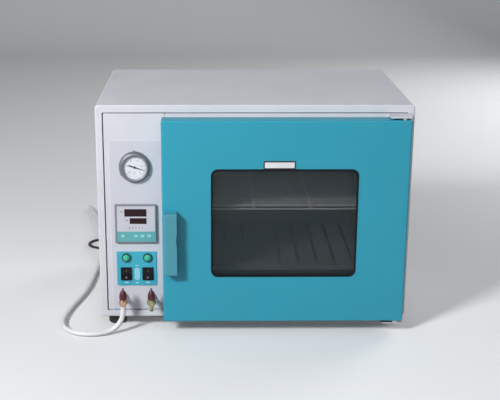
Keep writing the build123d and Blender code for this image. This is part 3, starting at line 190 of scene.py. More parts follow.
def plastic(name, colour, rough=0.45, grain=0.0006, depth=0.00003, variation=0.04, gloss=0.5):
    # moulded plastic with a fine spark-eroded grain
    material, tree, shader = newMaterial(name)
    point = objectPoint(tree)
    cloudy = noise(tree, point, 0.03, 3)
    base = ramp(
        tree, cloudy, (0.3, shade(colour, 1 - variation)), (0.7, shade(colour, 1 + variation))
    )
    join(tree, base, shader.inputs["Base Color"])
    join(tree, spread(tree, cloudy, rough - 0.05, rough + 0.05), shader.inputs["Roughness"])
    shader.inputs["Specular IOR Level"].default_value = gloss
    bump(tree, shader, noise(tree, point, grain, 2), depth, 0.6)
    return material


def rubber(name, colour, rough=0.7, dust=0.06, grain=0.0008):
    # matt rubber with a little dust in its grain
    material, tree, shader = newMaterial(name)
    point = objectPoint(tree)
    cloudy = noise(tree, point, 0.02, 5, 0.65)
    dusty = tuple(channel * (1 - dust) + dust for channel in colour)
    base = ramp(tree, cloudy, (0.35, colour), (0.75, dusty))
    join(tree, base, shader.inputs["Base Color"])
    join(tree, spread(tree, cloudy, rough - 0.08, rough + 0.1), shader.inputs["Roughness"])
    bump(tree, shader, noise(tree, point, grain, 3), 0.00005, 0.6)
    return material


def glass(name, colour, alpha, rough=0.02, smear=0.03, film=0.12):
    # a thin pane: alpha is how much it holds back, and film is the size of its smears
    material, tree, shader = newMaterial(name)
    smears = noise(tree, objectPoint(tree), film, 4, 0.6)
    join(tree, spread(tree, smears, rough, rough + smear), shader.inputs["Roughness"])
    join(
        tree,
        ramp(tree, smears, (0.2, shade(colour, 0.9)), (0.8, shade(colour, 1.1))),
        shader.inputs["Base Color"],
    )
    shader.inputs["IOR"].default_value = 1.45
    shader.inputs["Alpha"].default_value = alpha
    return material


def turned(name, colour, rough=0.28, patina=0.75):
    # machined brass or copper with a little tarnish in blotches
    material, tree, shader = newMaterial(name)
    point = objectPoint(tree)
    blotch = noise(tree, point, 0.009, 5, 0.65)
    rings = noise(tree, objectPoint(tree, (1, 1, 30)), 0.02, 3)
    base = ramp(tree, blotch, (0.3, shade(colour, patina)), (0.62, colour))
    join(tree, base, shader.inputs["Base Color"])
    shader.inputs["Metallic"].default_value = 1
    join(tree, spread(tree, blotch, rough + 0.18, rough), shader.inputs["Roughness"])
    bump(tree, shader, rings, 0.00003, 0.4)
    return material


def above(tree, axis, height, blur=0.0002):
    # 0 below the height along the axis and 1 above it
    split = addNode(tree, "ShaderNodeSeparateXYZ")
    join(tree, objectPoint(tree), split.inputs["Vector"])
    return spread(tree, split.outputs[axis], 0, 1, height - blur, height + blur)


def overlay(tree, shader, factor, colour):
    # a second colour over the one that is there already, where the factor is 1
    mix = addNode(tree, "ShaderNodeMix", data_type="RGBA")
    base = shader.inputs["Base Color"]
    under = base.links[0].from_socket
    join(tree, factor, mix.inputs["Factor"])
    join(tree, under, mix.inputs["A"])
    mix.inputs["B"].default_value = (*colour, 1)
    join(tree, mix.outputs["Result"], base)


def printed(material, height, colour, over=False):
    # the same finish in another colour on one side of a height
    tree = material.node_tree
    shader = tree.nodes["Principled BSDF"]
    factor = above(tree, "Z", height)
    if not over:
        factor = spread(tree, factor, 1, 0, 0, 1)
    overlay(tree, shader, factor, colour)
    return material


sheetSet = {
    "left": -0.3315,
    "top": 0.4527,
    "colour": (0.625, 0.635, 0.70),
    "edge": (0.80, 0.81, 0.85),
    "edgeWidth": 0.0009,
}


def framed(material, settings):
    # a printed sheet right of its left side and below its top, with a hairline along its edge
    tree = material.node_tree
    shader = tree.nodes["Principled BSDF"]

    def within(inset):
        low = spread(tree, above(tree, "Z", settings["top"] - inset), 1, 0, 0, 1)
        both = addNode(tree, "ShaderNodeMath", operation="MULTIPLY")
        join(tree, above(tree, "X", settings["left"] + inset), both.inputs[0])
        join(tree, low, both.inputs[1])
        return both.outputs["Value"]

    overlay(tree, shader, within(0), settings["edge"])
    overlay(tree, shader, within(settings["edgeWidth"]), settings["colour"])
    return material


def fibre(name, colour):
    # ceramic wool: tangled fibres
    material, tree, shader = newMaterial(name)
    point = objectPoint(tree)
    strands = noise(tree, objectPoint(tree, (1, 4, 1)), 0.004, 8, 0.75)
    join(
        tree,
        ramp(tree, strands, (0.3, shade(colour, 0.82)), (0.7, shade(colour, 1.06))),
        shader.inputs["Base Color"],
    )
    shader.inputs["Roughness"].default_value = 0.95
    bump(tree, shader, noise(tree, point, 0.003, 6), 0.0008, 0.8)
    return material


bandTop = 0.239  # of the controller's coloured band
nippleEnd = 0.0575  # below this height the right valve's nipple is coloured near black
knobTip = 0.1046  # above this the spindle shows

finishes = {
    "cabinet_paint": paint("cabinetPaint", (0.71, 0.72, 0.775), 0.46, 0.0018, 0.00009),
    "panel_paint": paint("panelPaint", (0.70, 0.705, 0.76), 0.4, 0.0022, 0.00005),
    "door_paint": paint("doorPaint", (0.028, 0.353, 0.490), 0.38, 0.0022, 0.00005, 0.3),
    "handle_paint": paint("handlePaint", (0.072, 0.313, 0.40), 0.42, 0.0018, 0.00006),
    "liner_paint": paint("linerPaint", (0.72, 0.73, 0.76), 0.42),
    "stainless": brushed("stainless", (0.40, 0.41, 0.41), (1, 60, 60), 0.42),
    "wire": brushed("wire", (0.86, 0.87, 0.87), (2, 30, 30), 0.42, metal=0.35),
    "zinc": brushed("zinc", (0.60, 0.60, 0.62), (8, 8, 8), 0.4),
    "silicone": rubber("silicone", (0.46, 0.10, 0.06), 0.5, 0.03),
    "black_rubber": rubber("blackRubber", (0.016, 0.016, 0.018), 0.62, 0.025),
    "buffer_silicone": rubber("bufferSilicone", (0.7, 0.7, 0.66), 0.5, 0.02),
    "wool": fibre("wool", (0.80, 0.78, 0.72)),
    "mica": fibre("mica", (0.45, 0.42, 0.37)),
    "brass": turned("brass", (0.72, 0.54, 0.28)),
    "copper": turned("copper", (0.78, 0.42, 0.28)),
    "knob_red": plastic("knobRed", (0.095, 0.010, 0.021), 0.36, 0.0007, 0.00004, 0.12),
    "bezel_steel": brushed("bezelSteel", (0.26, 0.27, 0.30), (20, 20, 20), 0.5, metal=0.8),
    "case_grey": plastic("caseGrey", (0.24, 0.24, 0.28), 0.5),
    "case_black": plastic("caseBlack", (0.02, 0.02, 0.024), 0.5),
    "face_grey": printed(
        plastic("faceGrey", (0.60, 0.595, 0.66), 0.42, 0.0004, 0.00001, 0.02),
        bandTop,
        (0.12, 0.42, 0.43),
    ),
    "display_black": plastic(
        "displayBlack", (0.016, 0.005, 0.009), 0.16, 0.002, 0.000004, gloss=0.2
    ),
    "key_blue": plastic("keyBlue", (0.26, 0.64, 0.74), 0.4),
    "dial_white": paint("dialWhite", (0.86, 0.89, 0.95), 0.5, 0.0008, 0.00001),
    "pointer_black": plastic("pointerBlack", (0.008, 0.008, 0.010), 0.5),
    "plate_teal": paint("plateTeal", (0.050, 0.43, 0.57), 0.34, 0.0012, 0.00002),
    "lamp_ring": plastic("lampRing", (0.008, 0.10, 0.09), 0.3),
    "lamp_green": plastic("lampGreen", (0.05, 0.50, 0.34), 0.16, 0.0015, 0.00002),
    "rocker_black": plastic("rockerBlack", (0.004, 0.005, 0.009), 0.3, gloss=0.25),
    "tinted_glass": glass("tintedGlass", (0.024, 0.040, 0.047), 0.31),
    "clear_glass": glass("clearGlass", (0.10, 0.13, 0.13), 0.10),
    "gauge_glass": glass("gaugeGlass", (0.7, 0.7, 0.72), 0.04),
    "label_frame": plastic("labelFrame", (0.02, 0.02, 0.028), 0.4),
    "label_white": plastic("labelWhite", (0.80, 0.81, 0.83), 0.6),
    "hose_white": rubber("hoseWhite", (0.80, 0.80, 0.80), 0.5, 0.02),
    "lead_black": rubber("leadBlack", (0.014, 0.014, 0.016), 0.5, 0.02),
}
extraFinishes = {
    "shelf_lower": brushed("trayFinish", (0.34, 0.37, 0.385), (2, 30, 30), 0.45, metal=0.4),
    "window_trim": plastic("trimBlack", (0.006, 0.008, 0.011), 0.4, gloss=0.2),
    "control_panel": framed(finishes["panel_paint"].copy(), sheetSet),
    "valve_body_left": turned("brassPink", (0.74, 0.47, 0.33)),
    "valve_body_right": printed(
        turned("brassOlive", (0.50, 0.44, 0.24)), nippleEnd, (0.012, 0.012, 0.012)
    ),
    "valve_knob_left": printed(finishes["knob_red"].copy(), knobTip, (0.10, 0.07, 0.07), True),
    "valve_knob_right": printed(finishes["knob_red"].copy(), knobTip, (0.10, 0.07, 0.07), True),
}


def dressNodes():
    for part in frame["record"]["subparts"]:
        item = nodes[part["node"]]
        item.data.materials.clear()
        own = extraFinishes.get(part["node"], finishes[part["material_slot"]])
        item.data.materials.append(own)


dressNodes()
print("finishes on the packed nodes")

inks = {
    # the dial's ink also serves as the painted shade in the rear screws' cross recesses
    "dialInkAndRecessShade": plastic("dialInkAndRecessShade", (0.03, 0.03, 0.035), 0.6),
    "paleInk": plastic("paleInk", (0.62, 0.80, 0.86), 0.55),
    "greyInk": plastic("greyInk", (0.19, 0.19, 0.23), 0.55),
    "segmentInk": plastic("segmentInk", (0.045, 0.010, 0.014), 0.3, gloss=0.2),
    "warmInk": plastic("warmInk", (0.52, 0.36, 0.28), 0.5),
}
sharpFrom = radians(35)  # a smooth piece keeps the edges that turn further than this


def sweepFaces(copies, rings, around, closed=False):
    # quads between each ring and the next of every copy: a closed sweep joins its last ring to its
    # first, and an open one gets a flat face over each end
    first = np.arange(copies)[:, None, None] * rings * around
    ring = np.arange(rings if closed else rings - 1)[None, :, None]
    here = first + ring * around
    beyond = first + (ring + 1) % rings * around
    point = np.arange(around)[None, None, :]
    after = (point + 1) % around
    quads = np.stack([here + point, beyond + point, beyond + after, here + after], -1)
    faces = quads.reshape(-1, 4).tolist()
    if not closed:
        faces += (first[:, 0] + point[0]).tolist()
        faces += (first[:, 0] + (rings - 1) * around + point[0][:, ::-1]).tolist()
    return faces


def addPiece(name, places, faces, finish, body, ink=None, smooth=False):
    # a printed mark has an ink of its own, used as its material in place of the finish it is given
    mesh = bpy.data.meshes.new(name)
    mesh.from_pydata(places.tolist(), [], faces)
    if smooth:
        mesh.shade_smooth()
        mesh.set_sharp_from_angle(angle=sharpFrom)
    mesh.materials.append(inks[ink] if ink else finishes[finish])
    piece = bpy.data.objects.new(name, mesh)
    scene.collection.objects.link(piece)
    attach(piece, body)
    return piece


def makePiece(name, points, finish, body, ink=None, closed=False, smooth=False):
    # points holds copies x rings x points around x 3
    faces = sweepFaces(*points.shape[:3], closed)
    return addPiece(name, points.reshape(-1, 3), faces, finish, body, ink, smooth)


def facing(outlines, front, thick):
    # flat outlines, copies x points x (right, up), given a thickness behind the plane y = front
    outlines = np.asarray(outlines, float)
    layer = [
        np.stack([outlines[..., 0], np.full(outlines.shape[:-1], y), outlines[..., 1]], -1)
        for y in (front, front + thick)
    ]
    return np.stack(layer, 1)


def bars(centres, length, width, angle):
    # rectangles of that length and width, each turned by its angle about its own centre
    centres = np.asarray(centres, float)
    angle = np.broadcast_to(angle, centres.shape[:1])
    length = np.broadcast_to(length, centres.shape[:1])
    along = np.stack([np.cos(angle), np.sin(angle)], -1)
    aside = np.stack([-np.sin(angle), np.cos(angle)], -1)
    corners = np.array([(-0.5, -0.5), (0.5, -0.5), (0.5, 0.5), (-0.5, 0.5)])
    reach = length[:, None, None] * corners[None, :, :1] * along[:, None]
    return centres[:, None] + reach + width * corners[None, :, 1:] * aside[:, None]


def roundedBoxes(centres, width, height, radius, steps=5):
    # four quarter circles, joined by straight edges
    quarter = np.arange(4)[:, None] * pi / 2
    angle = (quarter + np.linspace(0, pi / 2, steps)).ravel()
    side = np.repeat(np.array([(1, 1), (-1, 1), (-1, -1), (1, -1)]), steps, axis=0)
    outline = side * (np.array([width, height]) / 2 - radius)
    outline = outline + radius * np.stack([np.cos(angle), np.sin(angle)], -1)
    return np.asarray(centres, float)[:, None] + outline


def discs(centres, radius, sides=24, turn=0.0):
    # points evenly round a circle: with three sides it is an arrow's head
    angle = np.arange(sides) * 2 * pi / sides + turn
    outline = radius * np.stack([np.cos(angle), np.sin(angle)], -1)
    return np.asarray(centres, float)[:, None] + outline


def hoops(centres, radius, width, front, thick, start=0.0, sweep=2 * pi, steps=40):
    # a flat ring: a rectangle, width by thick, carried along a circle or a part of it
    whole = sweep >= 2 * pi
    angle = start + sweep * np.linspace(0, 1, steps, endpoint=not whole)
    offsets = np.array([(-0.5, 0), (-0.5, 1), (0.5, 1), (0.5, 0)])
    reach = radius + width * offsets[None, :, 0]
    centres = np.asarray(centres, float)
    right = centres[:, 0, None, None] + reach * np.cos(angle)[:, None]
    upward = centres[:, 1, None, None] + reach * np.sin(angle)[:, None]
    depth = np.broadcast_to(front + thick * offsets[None, None, :, 1], right.shape)
    return np.stack([right, depth, upward], -1)


def figures(words, size, thick):
    # each word as a thin slab, centred on its own middle, with its seams joined
    shapes = []
    for word in words:
        data = bpy.data.curves.new("figure", "FONT")
        data.body, data.size = word, size
        data.align_x, data.align_y = "CENTER", "CENTER"
        data.extrude, data.resolution_u = thick / 2, 3
        holder = bpy.data.objects.new("figure", data)
        mesh = bpy.data.meshes.new_from_object(holder)
        shell = bmesh.new()
        shell.from_mesh(mesh)
        bmesh.ops.remove_doubles(shell, verts=shell.verts, dist=1e-7)
        shell.to_mesh(mesh)
        shell.free()
        points = np.empty(len(mesh.vertices) * 3)
        mesh.vertices.foreach_get("co", points)
        shapes.append((points.reshape(-1, 3), [tuple(p.vertices) for p in mesh.polygons]))
        bpy.data.objects.remove(holder)
        bpy.data.meshes.remove(mesh)
        bpy.data.curves.remove(data)
    return shapes


def boxOf(node):
    low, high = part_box(node)
    return np.array(low), np.array(high)


def middleOf(node):
    low, high = boxOf(node)
    return (low + high) / 2


dialSet = {
    "proud": 0.00006,
    "start": radians(-45),
    "sweep": radians(270),
    "tickOuter": 0.0248,
    "majorTicks": (11, 0.0040, 0.00055),  # how many, length, width
    "minorTicks": (51, 0.0022, 0.00028),
    "arc": (0.0251, 0.0003),  # radius, width
    "figureRadius": 0.0172,
    "figureSize": 0.0058,
    "figures": ("0", "2", "4", "6", "8", "10"),
    "mark": (0.0135, 0.0026, 0.0005),  # drop, radius, width
}


def makeDialMarks(settings):
    # each tick and figure lies on a spoke, at the cosine and sine of its share of the sweep
    low, high = boxOf("gauge_dial")
    centre = (low + high)[[0, 2]] / 2
    front, thick = low[1] - settings["proud"], settings["proud"]
    start, sweep = settings["start"], settings["sweep"]
    for name, key in (("dialMajorTicks", "majorTicks"), ("dialMinorTicks", "minorTicks")):
        count, length, width = settings[key]
        angle = start + sweep * np.linspace(0, 1, count)
        spoke = np.stack([np.cos(angle), np.sin(angle)], -1)
        ticks = bars(centre + (settings["tickOuter"] - length / 2) * spoke, length, width, angle)
        makePiece(name, facing(ticks, front, thick), "pointer_black", "cabinet", "dialInkAndRecessShade")
    radius, width = settings["arc"]
    arc = hoops([centre], radius, width, front, thick, start, sweep)
    makePiece("dialArc", arc, "pointer_black", "cabinet", "dialInkAndRecessShade")
    drop, radius, width = settings["mark"]
    mark = hoops([centre - (0, drop)], radius, width, front, thick)
    makePiece("dialMark", mark, "pointer_black", "cabinet", "greyInk", closed=True)
    words = settings["figures"]
    angle = start + sweep * np.linspace(0, 1, len(words))
    slabs = figures(words, settings["figureSize"], thick)
    for word, turn, (flat, faces) in zip(words, angle, slabs):
        at = centre + settings["figureRadius"] * np.array([cos(turn), sin(turn)])
        depth = front + thick / 2 - flat[:, 2]
        places = np.stack([flat[:, 0] + at[0], depth, flat[:, 1] + at[1]], -1)
        addPiece("dialFigure" + word, places, faces, "pointer_black", "cabinet", "dialInkAndRecessShade")


makeDialMarks(dialSet)

readoutSet = {
    "proud": 0.00008,
    "digit": (0.0078, 0.0130),  # width and height of an upper digit
    "pitch": 0.0112,
    "stroke": 0.0011,
    "shortened": (0.0016, 0.0014),  # how much a lying and a standing stroke stay short of a corner
    "lean": 0.09,
    "rows": (((-0.2735, 0.2842), 4, 1.0), ((-0.2675, 0.2646), 4, 0.74)),  # middle, digits, scale
    "lampRow": (-0.2880, 0.0074, 0.2490, 5),  # first X, pitch, Z, count
    "lampRadius": 0.0012,
    "lampDash": (0.0030, 0.0040, 0.0008),  # drop, length, width
    "signs": ((-0.3060, 0.2870), (-0.2930, 0.2660)),
    "signSize": (0.0058, 0.0018),
}


def makeReadouts(settings):
    # seven unlit strokes for each digit: three lie across and four stand, and all lean a little
    proud = settings["proud"]
    front = boxOf("controller_displays")[0][1] - proud
    width, height = settings["digit"]
    across = np.array([(0, 1), (0, 0), (0, -1)]) * (width / 2, height / 2)
    standing = np.array([(-1, 0.5), (1, 0.5), (-1, -0.5), (1, -0.5)]) * (width / 2, height / 2)
    middles = np.concatenate([across, standing])
    lying, upright = settings["shortened"]
    lengths = np.array([width - lying] * 3 + [height / 2 - upright] * 4)
    turns = np.array([0] * 3 + [pi / 2] * 4)
    strokes = []
    for (x, z), count, scale in settings["rows"]:
        step = (np.arange(count) - (count - 1) / 2) * settings["pitch"]
        places = (middles[None] + np.stack([step, np.zeros(count)], -1)[:, None]).reshape(-1, 2)
        shape = bars(places, np.tile(lengths, count), settings["stroke"], np.tile(turns, count))
        shape[..., 0] += settings["lean"] * shape[..., 1]
        strokes.append(shape * scale + (x, z))
    points = facing(np.concatenate(strokes), front, proud)
    makePiece("displayStrokes", points, "display_black", "cabinet", "segmentInk")
    face = boxOf("controller_face")[0][1] - proud
    x, pitch, z, count = settings["lampRow"]
    row = np.stack([x + pitch * np.arange(count), np.full(count, z)], -1)
    drop, length, width = settings["lampDash"]
    for name, outlines in (
        ("indicatorDots", discs(row, settings["lampRadius"])),
        ("indicatorDashes", bars(row - (0, drop), length, width, 0)),
        ("rowDashes", bars(settings["signs"], *settings["signSize"], 0)),
    ):
        makePiece(name, facing(outlines, face, proud), "case_grey", "cabinet", "greyInk")


makeReadouts(readoutSet)

keyMarkSet = {"proud": 0.00006, "size": 0.0016, "line": 0.0005}


def makeKeyMarks(settings):
    # a ring, then arrows that point left, down and up
    proud, size = settings["proud"], settings["size"]
    for number, turn in ((1, None), (2, pi), (3, -pi / 2), (4, pi / 2)):
        node = f"controller_key_{number}"
        low, high = boxOf(node)
        centre = (low + high)[[0, 2]] / 2
        if turn is None:
            points = hoops([centre], size, settings["line"], low[1] - proud, proud)
        else:
            points = facing(discs([centre], size, 3, turn), low[1] - proud, proud)
        makePiece(f"keyMark{number}", points, "key_blue", node, "paleInk", closed=turn is None)


makeKeyMarks(keyMarkSet)

plateMarkSet = {
    "proud": 0.00008,
    "oblong": ((-0.2727, 0.1335), 0.0112, 0.029, 0.0045),  # middle, width, height, corner
    "oblongLine": 0.0009,
    "strip": (0.1125, 0.0096, 0.0022, 0.001),  # height under a switch, width, height, corner
    "dashes": ((-0.2727, 0.1545), (-0.2727, 0.1115)),
    "dashSize": (0.0074, 0.0018),
}


def makePlateMarks(settings):
    # an oblong within an oblong for its line, a strip under each switch, and two dashes
    proud = settings["proud"]
    front = boxOf("switch_plate")[0][1] - proud
    middle, width, height, corner = settings["oblong"]
    line = settings["oblongLine"]
    inner = roundedBoxes([middle], width - 2 * line, height - 2 * line, corner - line)
    oblong = roundedBoxes([middle], width, height, corner)
    makePiece("plateOblong", facing(oblong, front, proud), "plate_teal", "cabinet", "paleInk")
    makePiece("plateOblongField", facing(inner, front - proud / 2, proud), "key_blue", "cabinet")
    under, width, height, corner = settings["strip"]
    places = [(middleOf("rocker_" + side)[0], under) for side in ("left", "right")]
    strips = roundedBoxes(places, width, height, corner)
    makePiece("switchStrips", facing(strips, front, proud), "plate_teal", "cabinet", "paleInk")
    dashes = bars(settings["dashes"], *settings["dashSize"], 0)
    makePiece("plateDashes", facing(dashes, front, proud), "plate_teal", "cabinet", "paleInk")


makePlateMarks(plateMarkSet)

rockerMarkSet = {
    "proud": 0.00008,
    "ring": (-0.0080, 0.0014),  # height over the rocker's middle, radius
    "bar": (0.0078, 0.0032),  # height over the rocker's middle, length
    "line": 0.0007,
}


def leaningFace(node, lower):
    # the plane of the lower or upper half of a rocker's front: depth as a function of right and up
    mesh = nodes[node].data
    count = len(mesh.polygons)
    normals, centres, areas = np.empty(count * 3), np.empty(count * 3), np.empty(count)
    mesh.polygons.foreach_get("normal", normals)
    mesh.polygons.foreach_get("center", centres)
    mesh.polygons.foreach_get("area", areas)
    normals, centres = normals.reshape(-1, 3), centres.reshape(-1, 3)
    height = middleOf(node)[2]
    forward = normals[:, 1] < -0.9
    chosen = forward & ((centres[:, 2] < height) == lower)
    weight = areas[chosen, None]
    normal = (normals[chosen] * weight).sum(0) / weight.sum()
    centre = (centres[chosen] * weight).sum(0) / weight.sum()

    def depth(points):
        offset = points[..., [0, 2]] - centre[[0, 2]]
        return centre[1] - (offset @ normal[[0, 2]]) / normal[1]

    return depth


def makeRockerMarks(settings):
    # a flat ring and a flat bar, each shifted back by the depth of the rocker's face under it
    proud, line = settings["proud"], settings["line"]
    (ringRise, radius), (barRise, length) = settings["ring"], settings["bar"]
    for side in ("left", "right"):
        node = "rocker_" + side
        middle = middleOf(node)[[0, 2]]
        ring = hoops([middle + (0, ringRise)], radius, line, -proud, proud)
        bar = facing(bars([middle + (0, barRise)], length, line, pi / 2), -proud, proud)
        for name, points, lower in (("Ring", ring, True), ("Bar", bar, False)):
            points[..., 1] += leaningFace(node, lower)(points)
            makePiece(node + name, points, "rocker_black", node, "warmInk", closed=lower)


makeRockerMarks(rockerMarkSet)

lensSet = {
    "radius": 0.00785,
    "foot": -0.2080,
    "tip": -0.2125,
    "rear": -0.1980,
    "skirt": 0.003,  # how far the full radius goes back before it tapers to the rear
    "taper": 0.9,
    "crown": 0.06,  # the angle at which the flat middle of the dome ends
    "ribs": 12,
    "ribDepth": 0.00022,
    "sides": 48,
    "rings": 9,
}


def makeLenses(settings):
    # a quarter ellipse turned about the lamp's axis, with grooves as deep as the cosine of the
    # angle times the ribs, fading out towards the crown and the foot
    angle = np.arange(settings["sides"]) * 2 * pi / settings["sides"]
    climb = np.linspace(settings["crown"], pi / 2, settings["rings"])
    full, foot = settings["radius"], settings["foot"]
    radius = np.append(full * np.sin(climb), [full, full * settings["taper"]])
    depth = settings["tip"] + (foot - settings["tip"]) * (1 - np.cos(climb))
    depth = np.append(depth, [foot + settings["skirt"], settings["rear"]])
    ribs = settings["ribDepth"] * (1 + np.cos(settings["ribs"] * angle))
    ribs = ribs[None, :] * np.append(np.sin(2 * climb) ** 2, [0, 0])[:, None]
    low, high = boxOf("lamp_lenses")
    middle = (low + high) / 2
    across = (high[0] - low[0] - 2 * full) / 2 * np.array([-1, 1])
    reach = radius[:, None] - ribs
    dome = np.stack([reach * np.cos(angle), depth[:, None] + ribs, reach * np.sin(angle)], -1)
    places = middle * (1, 0, 1) + across[:, None] * np.array([(1, 0, 0)])
    points = dome + places[:, None, None]
    piece = makePiece("lampDomes", points, "lamp_green", "cabinet", smooth=True)
    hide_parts("lamp_lenses")


makeLenses(lensSet)

reliefSet = {
    "centre": (-0.300, 0.075),
    "flange": (0.2770, 0.0108, 0.0045),  # foot, radius of its six corners, thickness
    "rear": 0.2687,
    "tail": 0.3065,
    "ribs": 7,
    "radii": (0.0074, 0.0047),
    "neck": 0.0070,  # radius of what goes through the cover
    "chamfer": 0.0004,
    "groove": 0.0011,
    "sides": 36,
}


def makeRelief(settings):
    # a taper carried along the lead, with square grooves between its ribs, on a six-sided flange
    foot, corner, thick = settings["flange"]
    begin = foot + thick
    stops = np.linspace(begin, settings["tail"], 4 * settings["ribs"] + 1)
    wide = np.interp(stops, (begin, settings["tail"]), settings["radii"])
    part = np.arange(len(stops)) % 4
    wide = wide - settings["groove"] * np.isin(part, (2, 3))
    chamfer = settings["chamfer"]
    base = [settings["rear"], foot, foot, foot + chamfer, begin - chamfer, begin]
    along = np.concatenate([base, stops])
    angle = np.arange(settings["sides"]) * 2 * pi / settings["sides"]
    six = corner * cos(pi / 6) / np.cos(np.mod(angle, pi / 3) - pi / 6)
    ones = np.ones(settings["sides"])
    neck = settings["neck"] * ones
    rings = [neck, neck, six - chamfer, six, six, six - chamfer]
    reach = np.array(rings + [radius * ones for radius in wide])
    points = np.stack([
        settings["centre"][0] + reach * np.cos(angle),
        np.broadcast_to(along[:, None], reach.shape),
        settings["centre"][1] + reach * np.sin(angle),
    ], -1)
    piece = makePiece("leadRelief", points[None], "lead_black", "cabinet", smooth=True)
    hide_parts("mains_gland")
    return piece


leadRelief = makeRelief(reliefSet)

screwSet = {
    "across": (-0.348, -0.174, 0.0, 0.174, 0.348),
    "rows": (0.041, 0.521),
    "sides": ((-0.348, 0.281), (0.348, 0.281)),
    "face": 0.2770,
    "recess": (0.0040, 0.0010),  # length and width of each slot of the cross
    "sunk": 0.0002,
    "thick": 0.00026,
    "seed": 4,
}


def makeRecessShade(settings):
    # crosses painted dark on the heads of the rear cover's screws, as painted shade in their cross
    # recesses, each turned by its own amount
    places = [(x, z) for z in settings["rows"] for x in settings["across"]]
    places = np.array(places + list(settings["sides"]))
    turns = np.random.default_rng(settings["seed"]).uniform(0, pi / 2, len(places))
    length, width = settings["recess"]
    slots = [bars(places, length, width, turns + quarter) for quarter in (0, pi / 2)]
    front = settings["face"] - settings["sunk"]
    points = facing(np.concatenate(slots), front, settings["thick"])
    makePiece("screwRecessShade", points, "zinc", "cabinet", "dialInkAndRecessShade")


makeRecessShade(screwSet)
print("marks, lamp domes and strain relief")


def cordCurve(name, points, radius, finish):
    # a round cord along one open NURBS spline, with the points as its control points
    data = bpy.data.curves.new(name, "CURVE")
    data.dimensions = "3D"
    data.bevel_depth = radius
    data.bevel_resolution = 5
    data.resolution_u = 8
    data.use_fill_caps = True
    spline = data.splines.new("NURBS")
    spline.points.add(len(points) - 1)
    for place, control in zip(points, spline.points):
        control.co = (*place, 1)
    spline.order_u = 3
    spline.use_endpoint_u = True
    data.materials.append(finishes[finish])
    piece = bpy.data.objects.new(name, data)
    scene.collection.objects.link(piece)
    return piece


hoseSet = {"radius": 0.006, "length": 1.22}
hoseFloor = hoseSet["radius"]
hoseCrossing = hoseFloor + 0.011  # over the mains lead
hosePoints = [
    (-0.3045, -0.240, 0.0663),
    (-0.3045, -0.240, 0.0463),
    (-0.3115, -0.2426, 0.0278),
    (-0.3248, -0.2474, 0.0137),
    (-0.342, -0.2537, hoseFloor),
    (-0.368, -0.2635, hoseFloor),
    (-0.397, -0.2632, hoseFloor),
    (-0.4235, -0.2514, hoseFloor),
    (-0.4436, -0.229, hoseFloor),
    (-0.454, -0.197, hoseFloor),
    (-0.453, -0.147, hoseFloor),
    (-0.4405, -0.078, hoseFloor),
    (-0.424, -0.010, hoseFloor),
    (-0.414, 0.059, hoseFloor),
    (-0.411, 0.129, hoseFloor),
    (-0.4065, 0.197, hoseFloor),
    (-0.4075, 0.258, hoseFloor),
    (-0.4093, 0.310, hoseFloor + 0.002),
    (-0.411, 0.360, hoseCrossing),
    (-0.417, 0.462, hoseCrossing),
    (-0.4255, 0.513, hoseFloor + 0.002),
    (-0.4355, 0.565, hoseFloor),
    (-0.4465, 0.622, hoseFloor),
    (-0.4595, 0.679, hoseFloor),
    (-0.4735, 0.733, hoseFloor),
    (-0.489, 0.786, hoseFloor),
]
hose = cordCurve("vacuumHose", hosePoints, hoseSet["radius"], "hose_white")
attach(hose, "cabinet")
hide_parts("vacuum_hose")

leadSet = {
    "radius": 0.0035,
    "length": 1.80,
    "coilCentre": (-0.212, 0.347),
    "pointsPerTurn": 16,
    "missing": 3,  # points of the last turn: the end lies on the coil, short of the plug
    "turns": [(0.0435, 0), (0.0358, 0), (0.0362, 1), (0.0440, 1), (0.0400, 2)],  # radius, layer
    "layerStep": 0.0069,
    "crossing": 0.3,  # the share of a turn in which the lead steps over to the next one
}
leadFloor = leadSet["radius"]
glandEnd = reliefSet["tail"]
leadPoints = [
    (-0.300, glandEnd, 0.075),
    (-0.300, glandEnd + 0.024, 0.075),
    (-0.303, glandEnd + 0.0495, 0.058),
    (-0.311, glandEnd + 0.0735, 0.032),
    (-0.325, glandEnd + 0.098, 0.011),
    (-0.348, glandEnd + 0.1215, leadFloor),
    (-0.382, glandEnd + 0.141, leadFloor),
    (-0.416, glandEnd + 0.1495, leadFloor),
    (-0.4396, glandEnd + 0.140, leadFloor),
    (-0.4532, glandEnd + 0.1183, leadFloor),
    (-0.4514, glandEnd + 0.093, leadFloor),
    (-0.435, glandEnd + 0.0733, leadFloor),
    (-0.406, glandEnd + 0.066, leadFloor),
    (-0.364, glandEnd + 0.0565, leadFloor),
    (-0.323, glandEnd + 0.0415, leadFloor),
    (-0.282, glandEnd + 0.0205, leadFloor),
    (-0.240, glandEnd + 0.003, leadFloor),
]


def coilPoints(settings):
    # point k of a turn: a circle whose radius and height ease over to the next turn's near its end
    centreX, centreY = settings["coilCentre"]
    perTurn = settings["pointsPerTurn"]
    turns = np.array(settings["turns"])
    place = np.arange(len(turns) * perTurn - settings["missing"]) / perTurn
    turn = place.astype(int)
    after = np.minimum(turn + 1, len(turns) - 1)
    ease = np.clip((place - turn - 1 + settings["crossing"]) / settings["crossing"], 0, 1)[:, None]
    radius, layer = (turns[turn] * (1 - ease) + turns[after] * ease).T
    angle = 2 * pi * place - pi / 2
    x = centreX + radius * np.cos(angle)
    y = centreY + radius * np.sin(angle)
    z = settings["radius"] + layer * settings["layerStep"]
    return np.stack([x, y, z], -1).tolist()


leadPoints += coilPoints(leadSet)
lead = cordCurve("mainsLead", leadPoints, leadSet["radius"], "lead_black")
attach(lead, "cabinet")
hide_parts("mains_lead", "mains_coil")
print("cords laid")

stageSet = {
    "reach": 12,
    "wall": 4,
    "bend": 1.2,
    "bendSteps": 12,
    "height": 9,
    "shown": (0.85, 0.855, 0.865),
    "shade": 0.36,  # of that colour, for light that bounces off
    "glow": 0.07,
    "rough": 0.8,
}


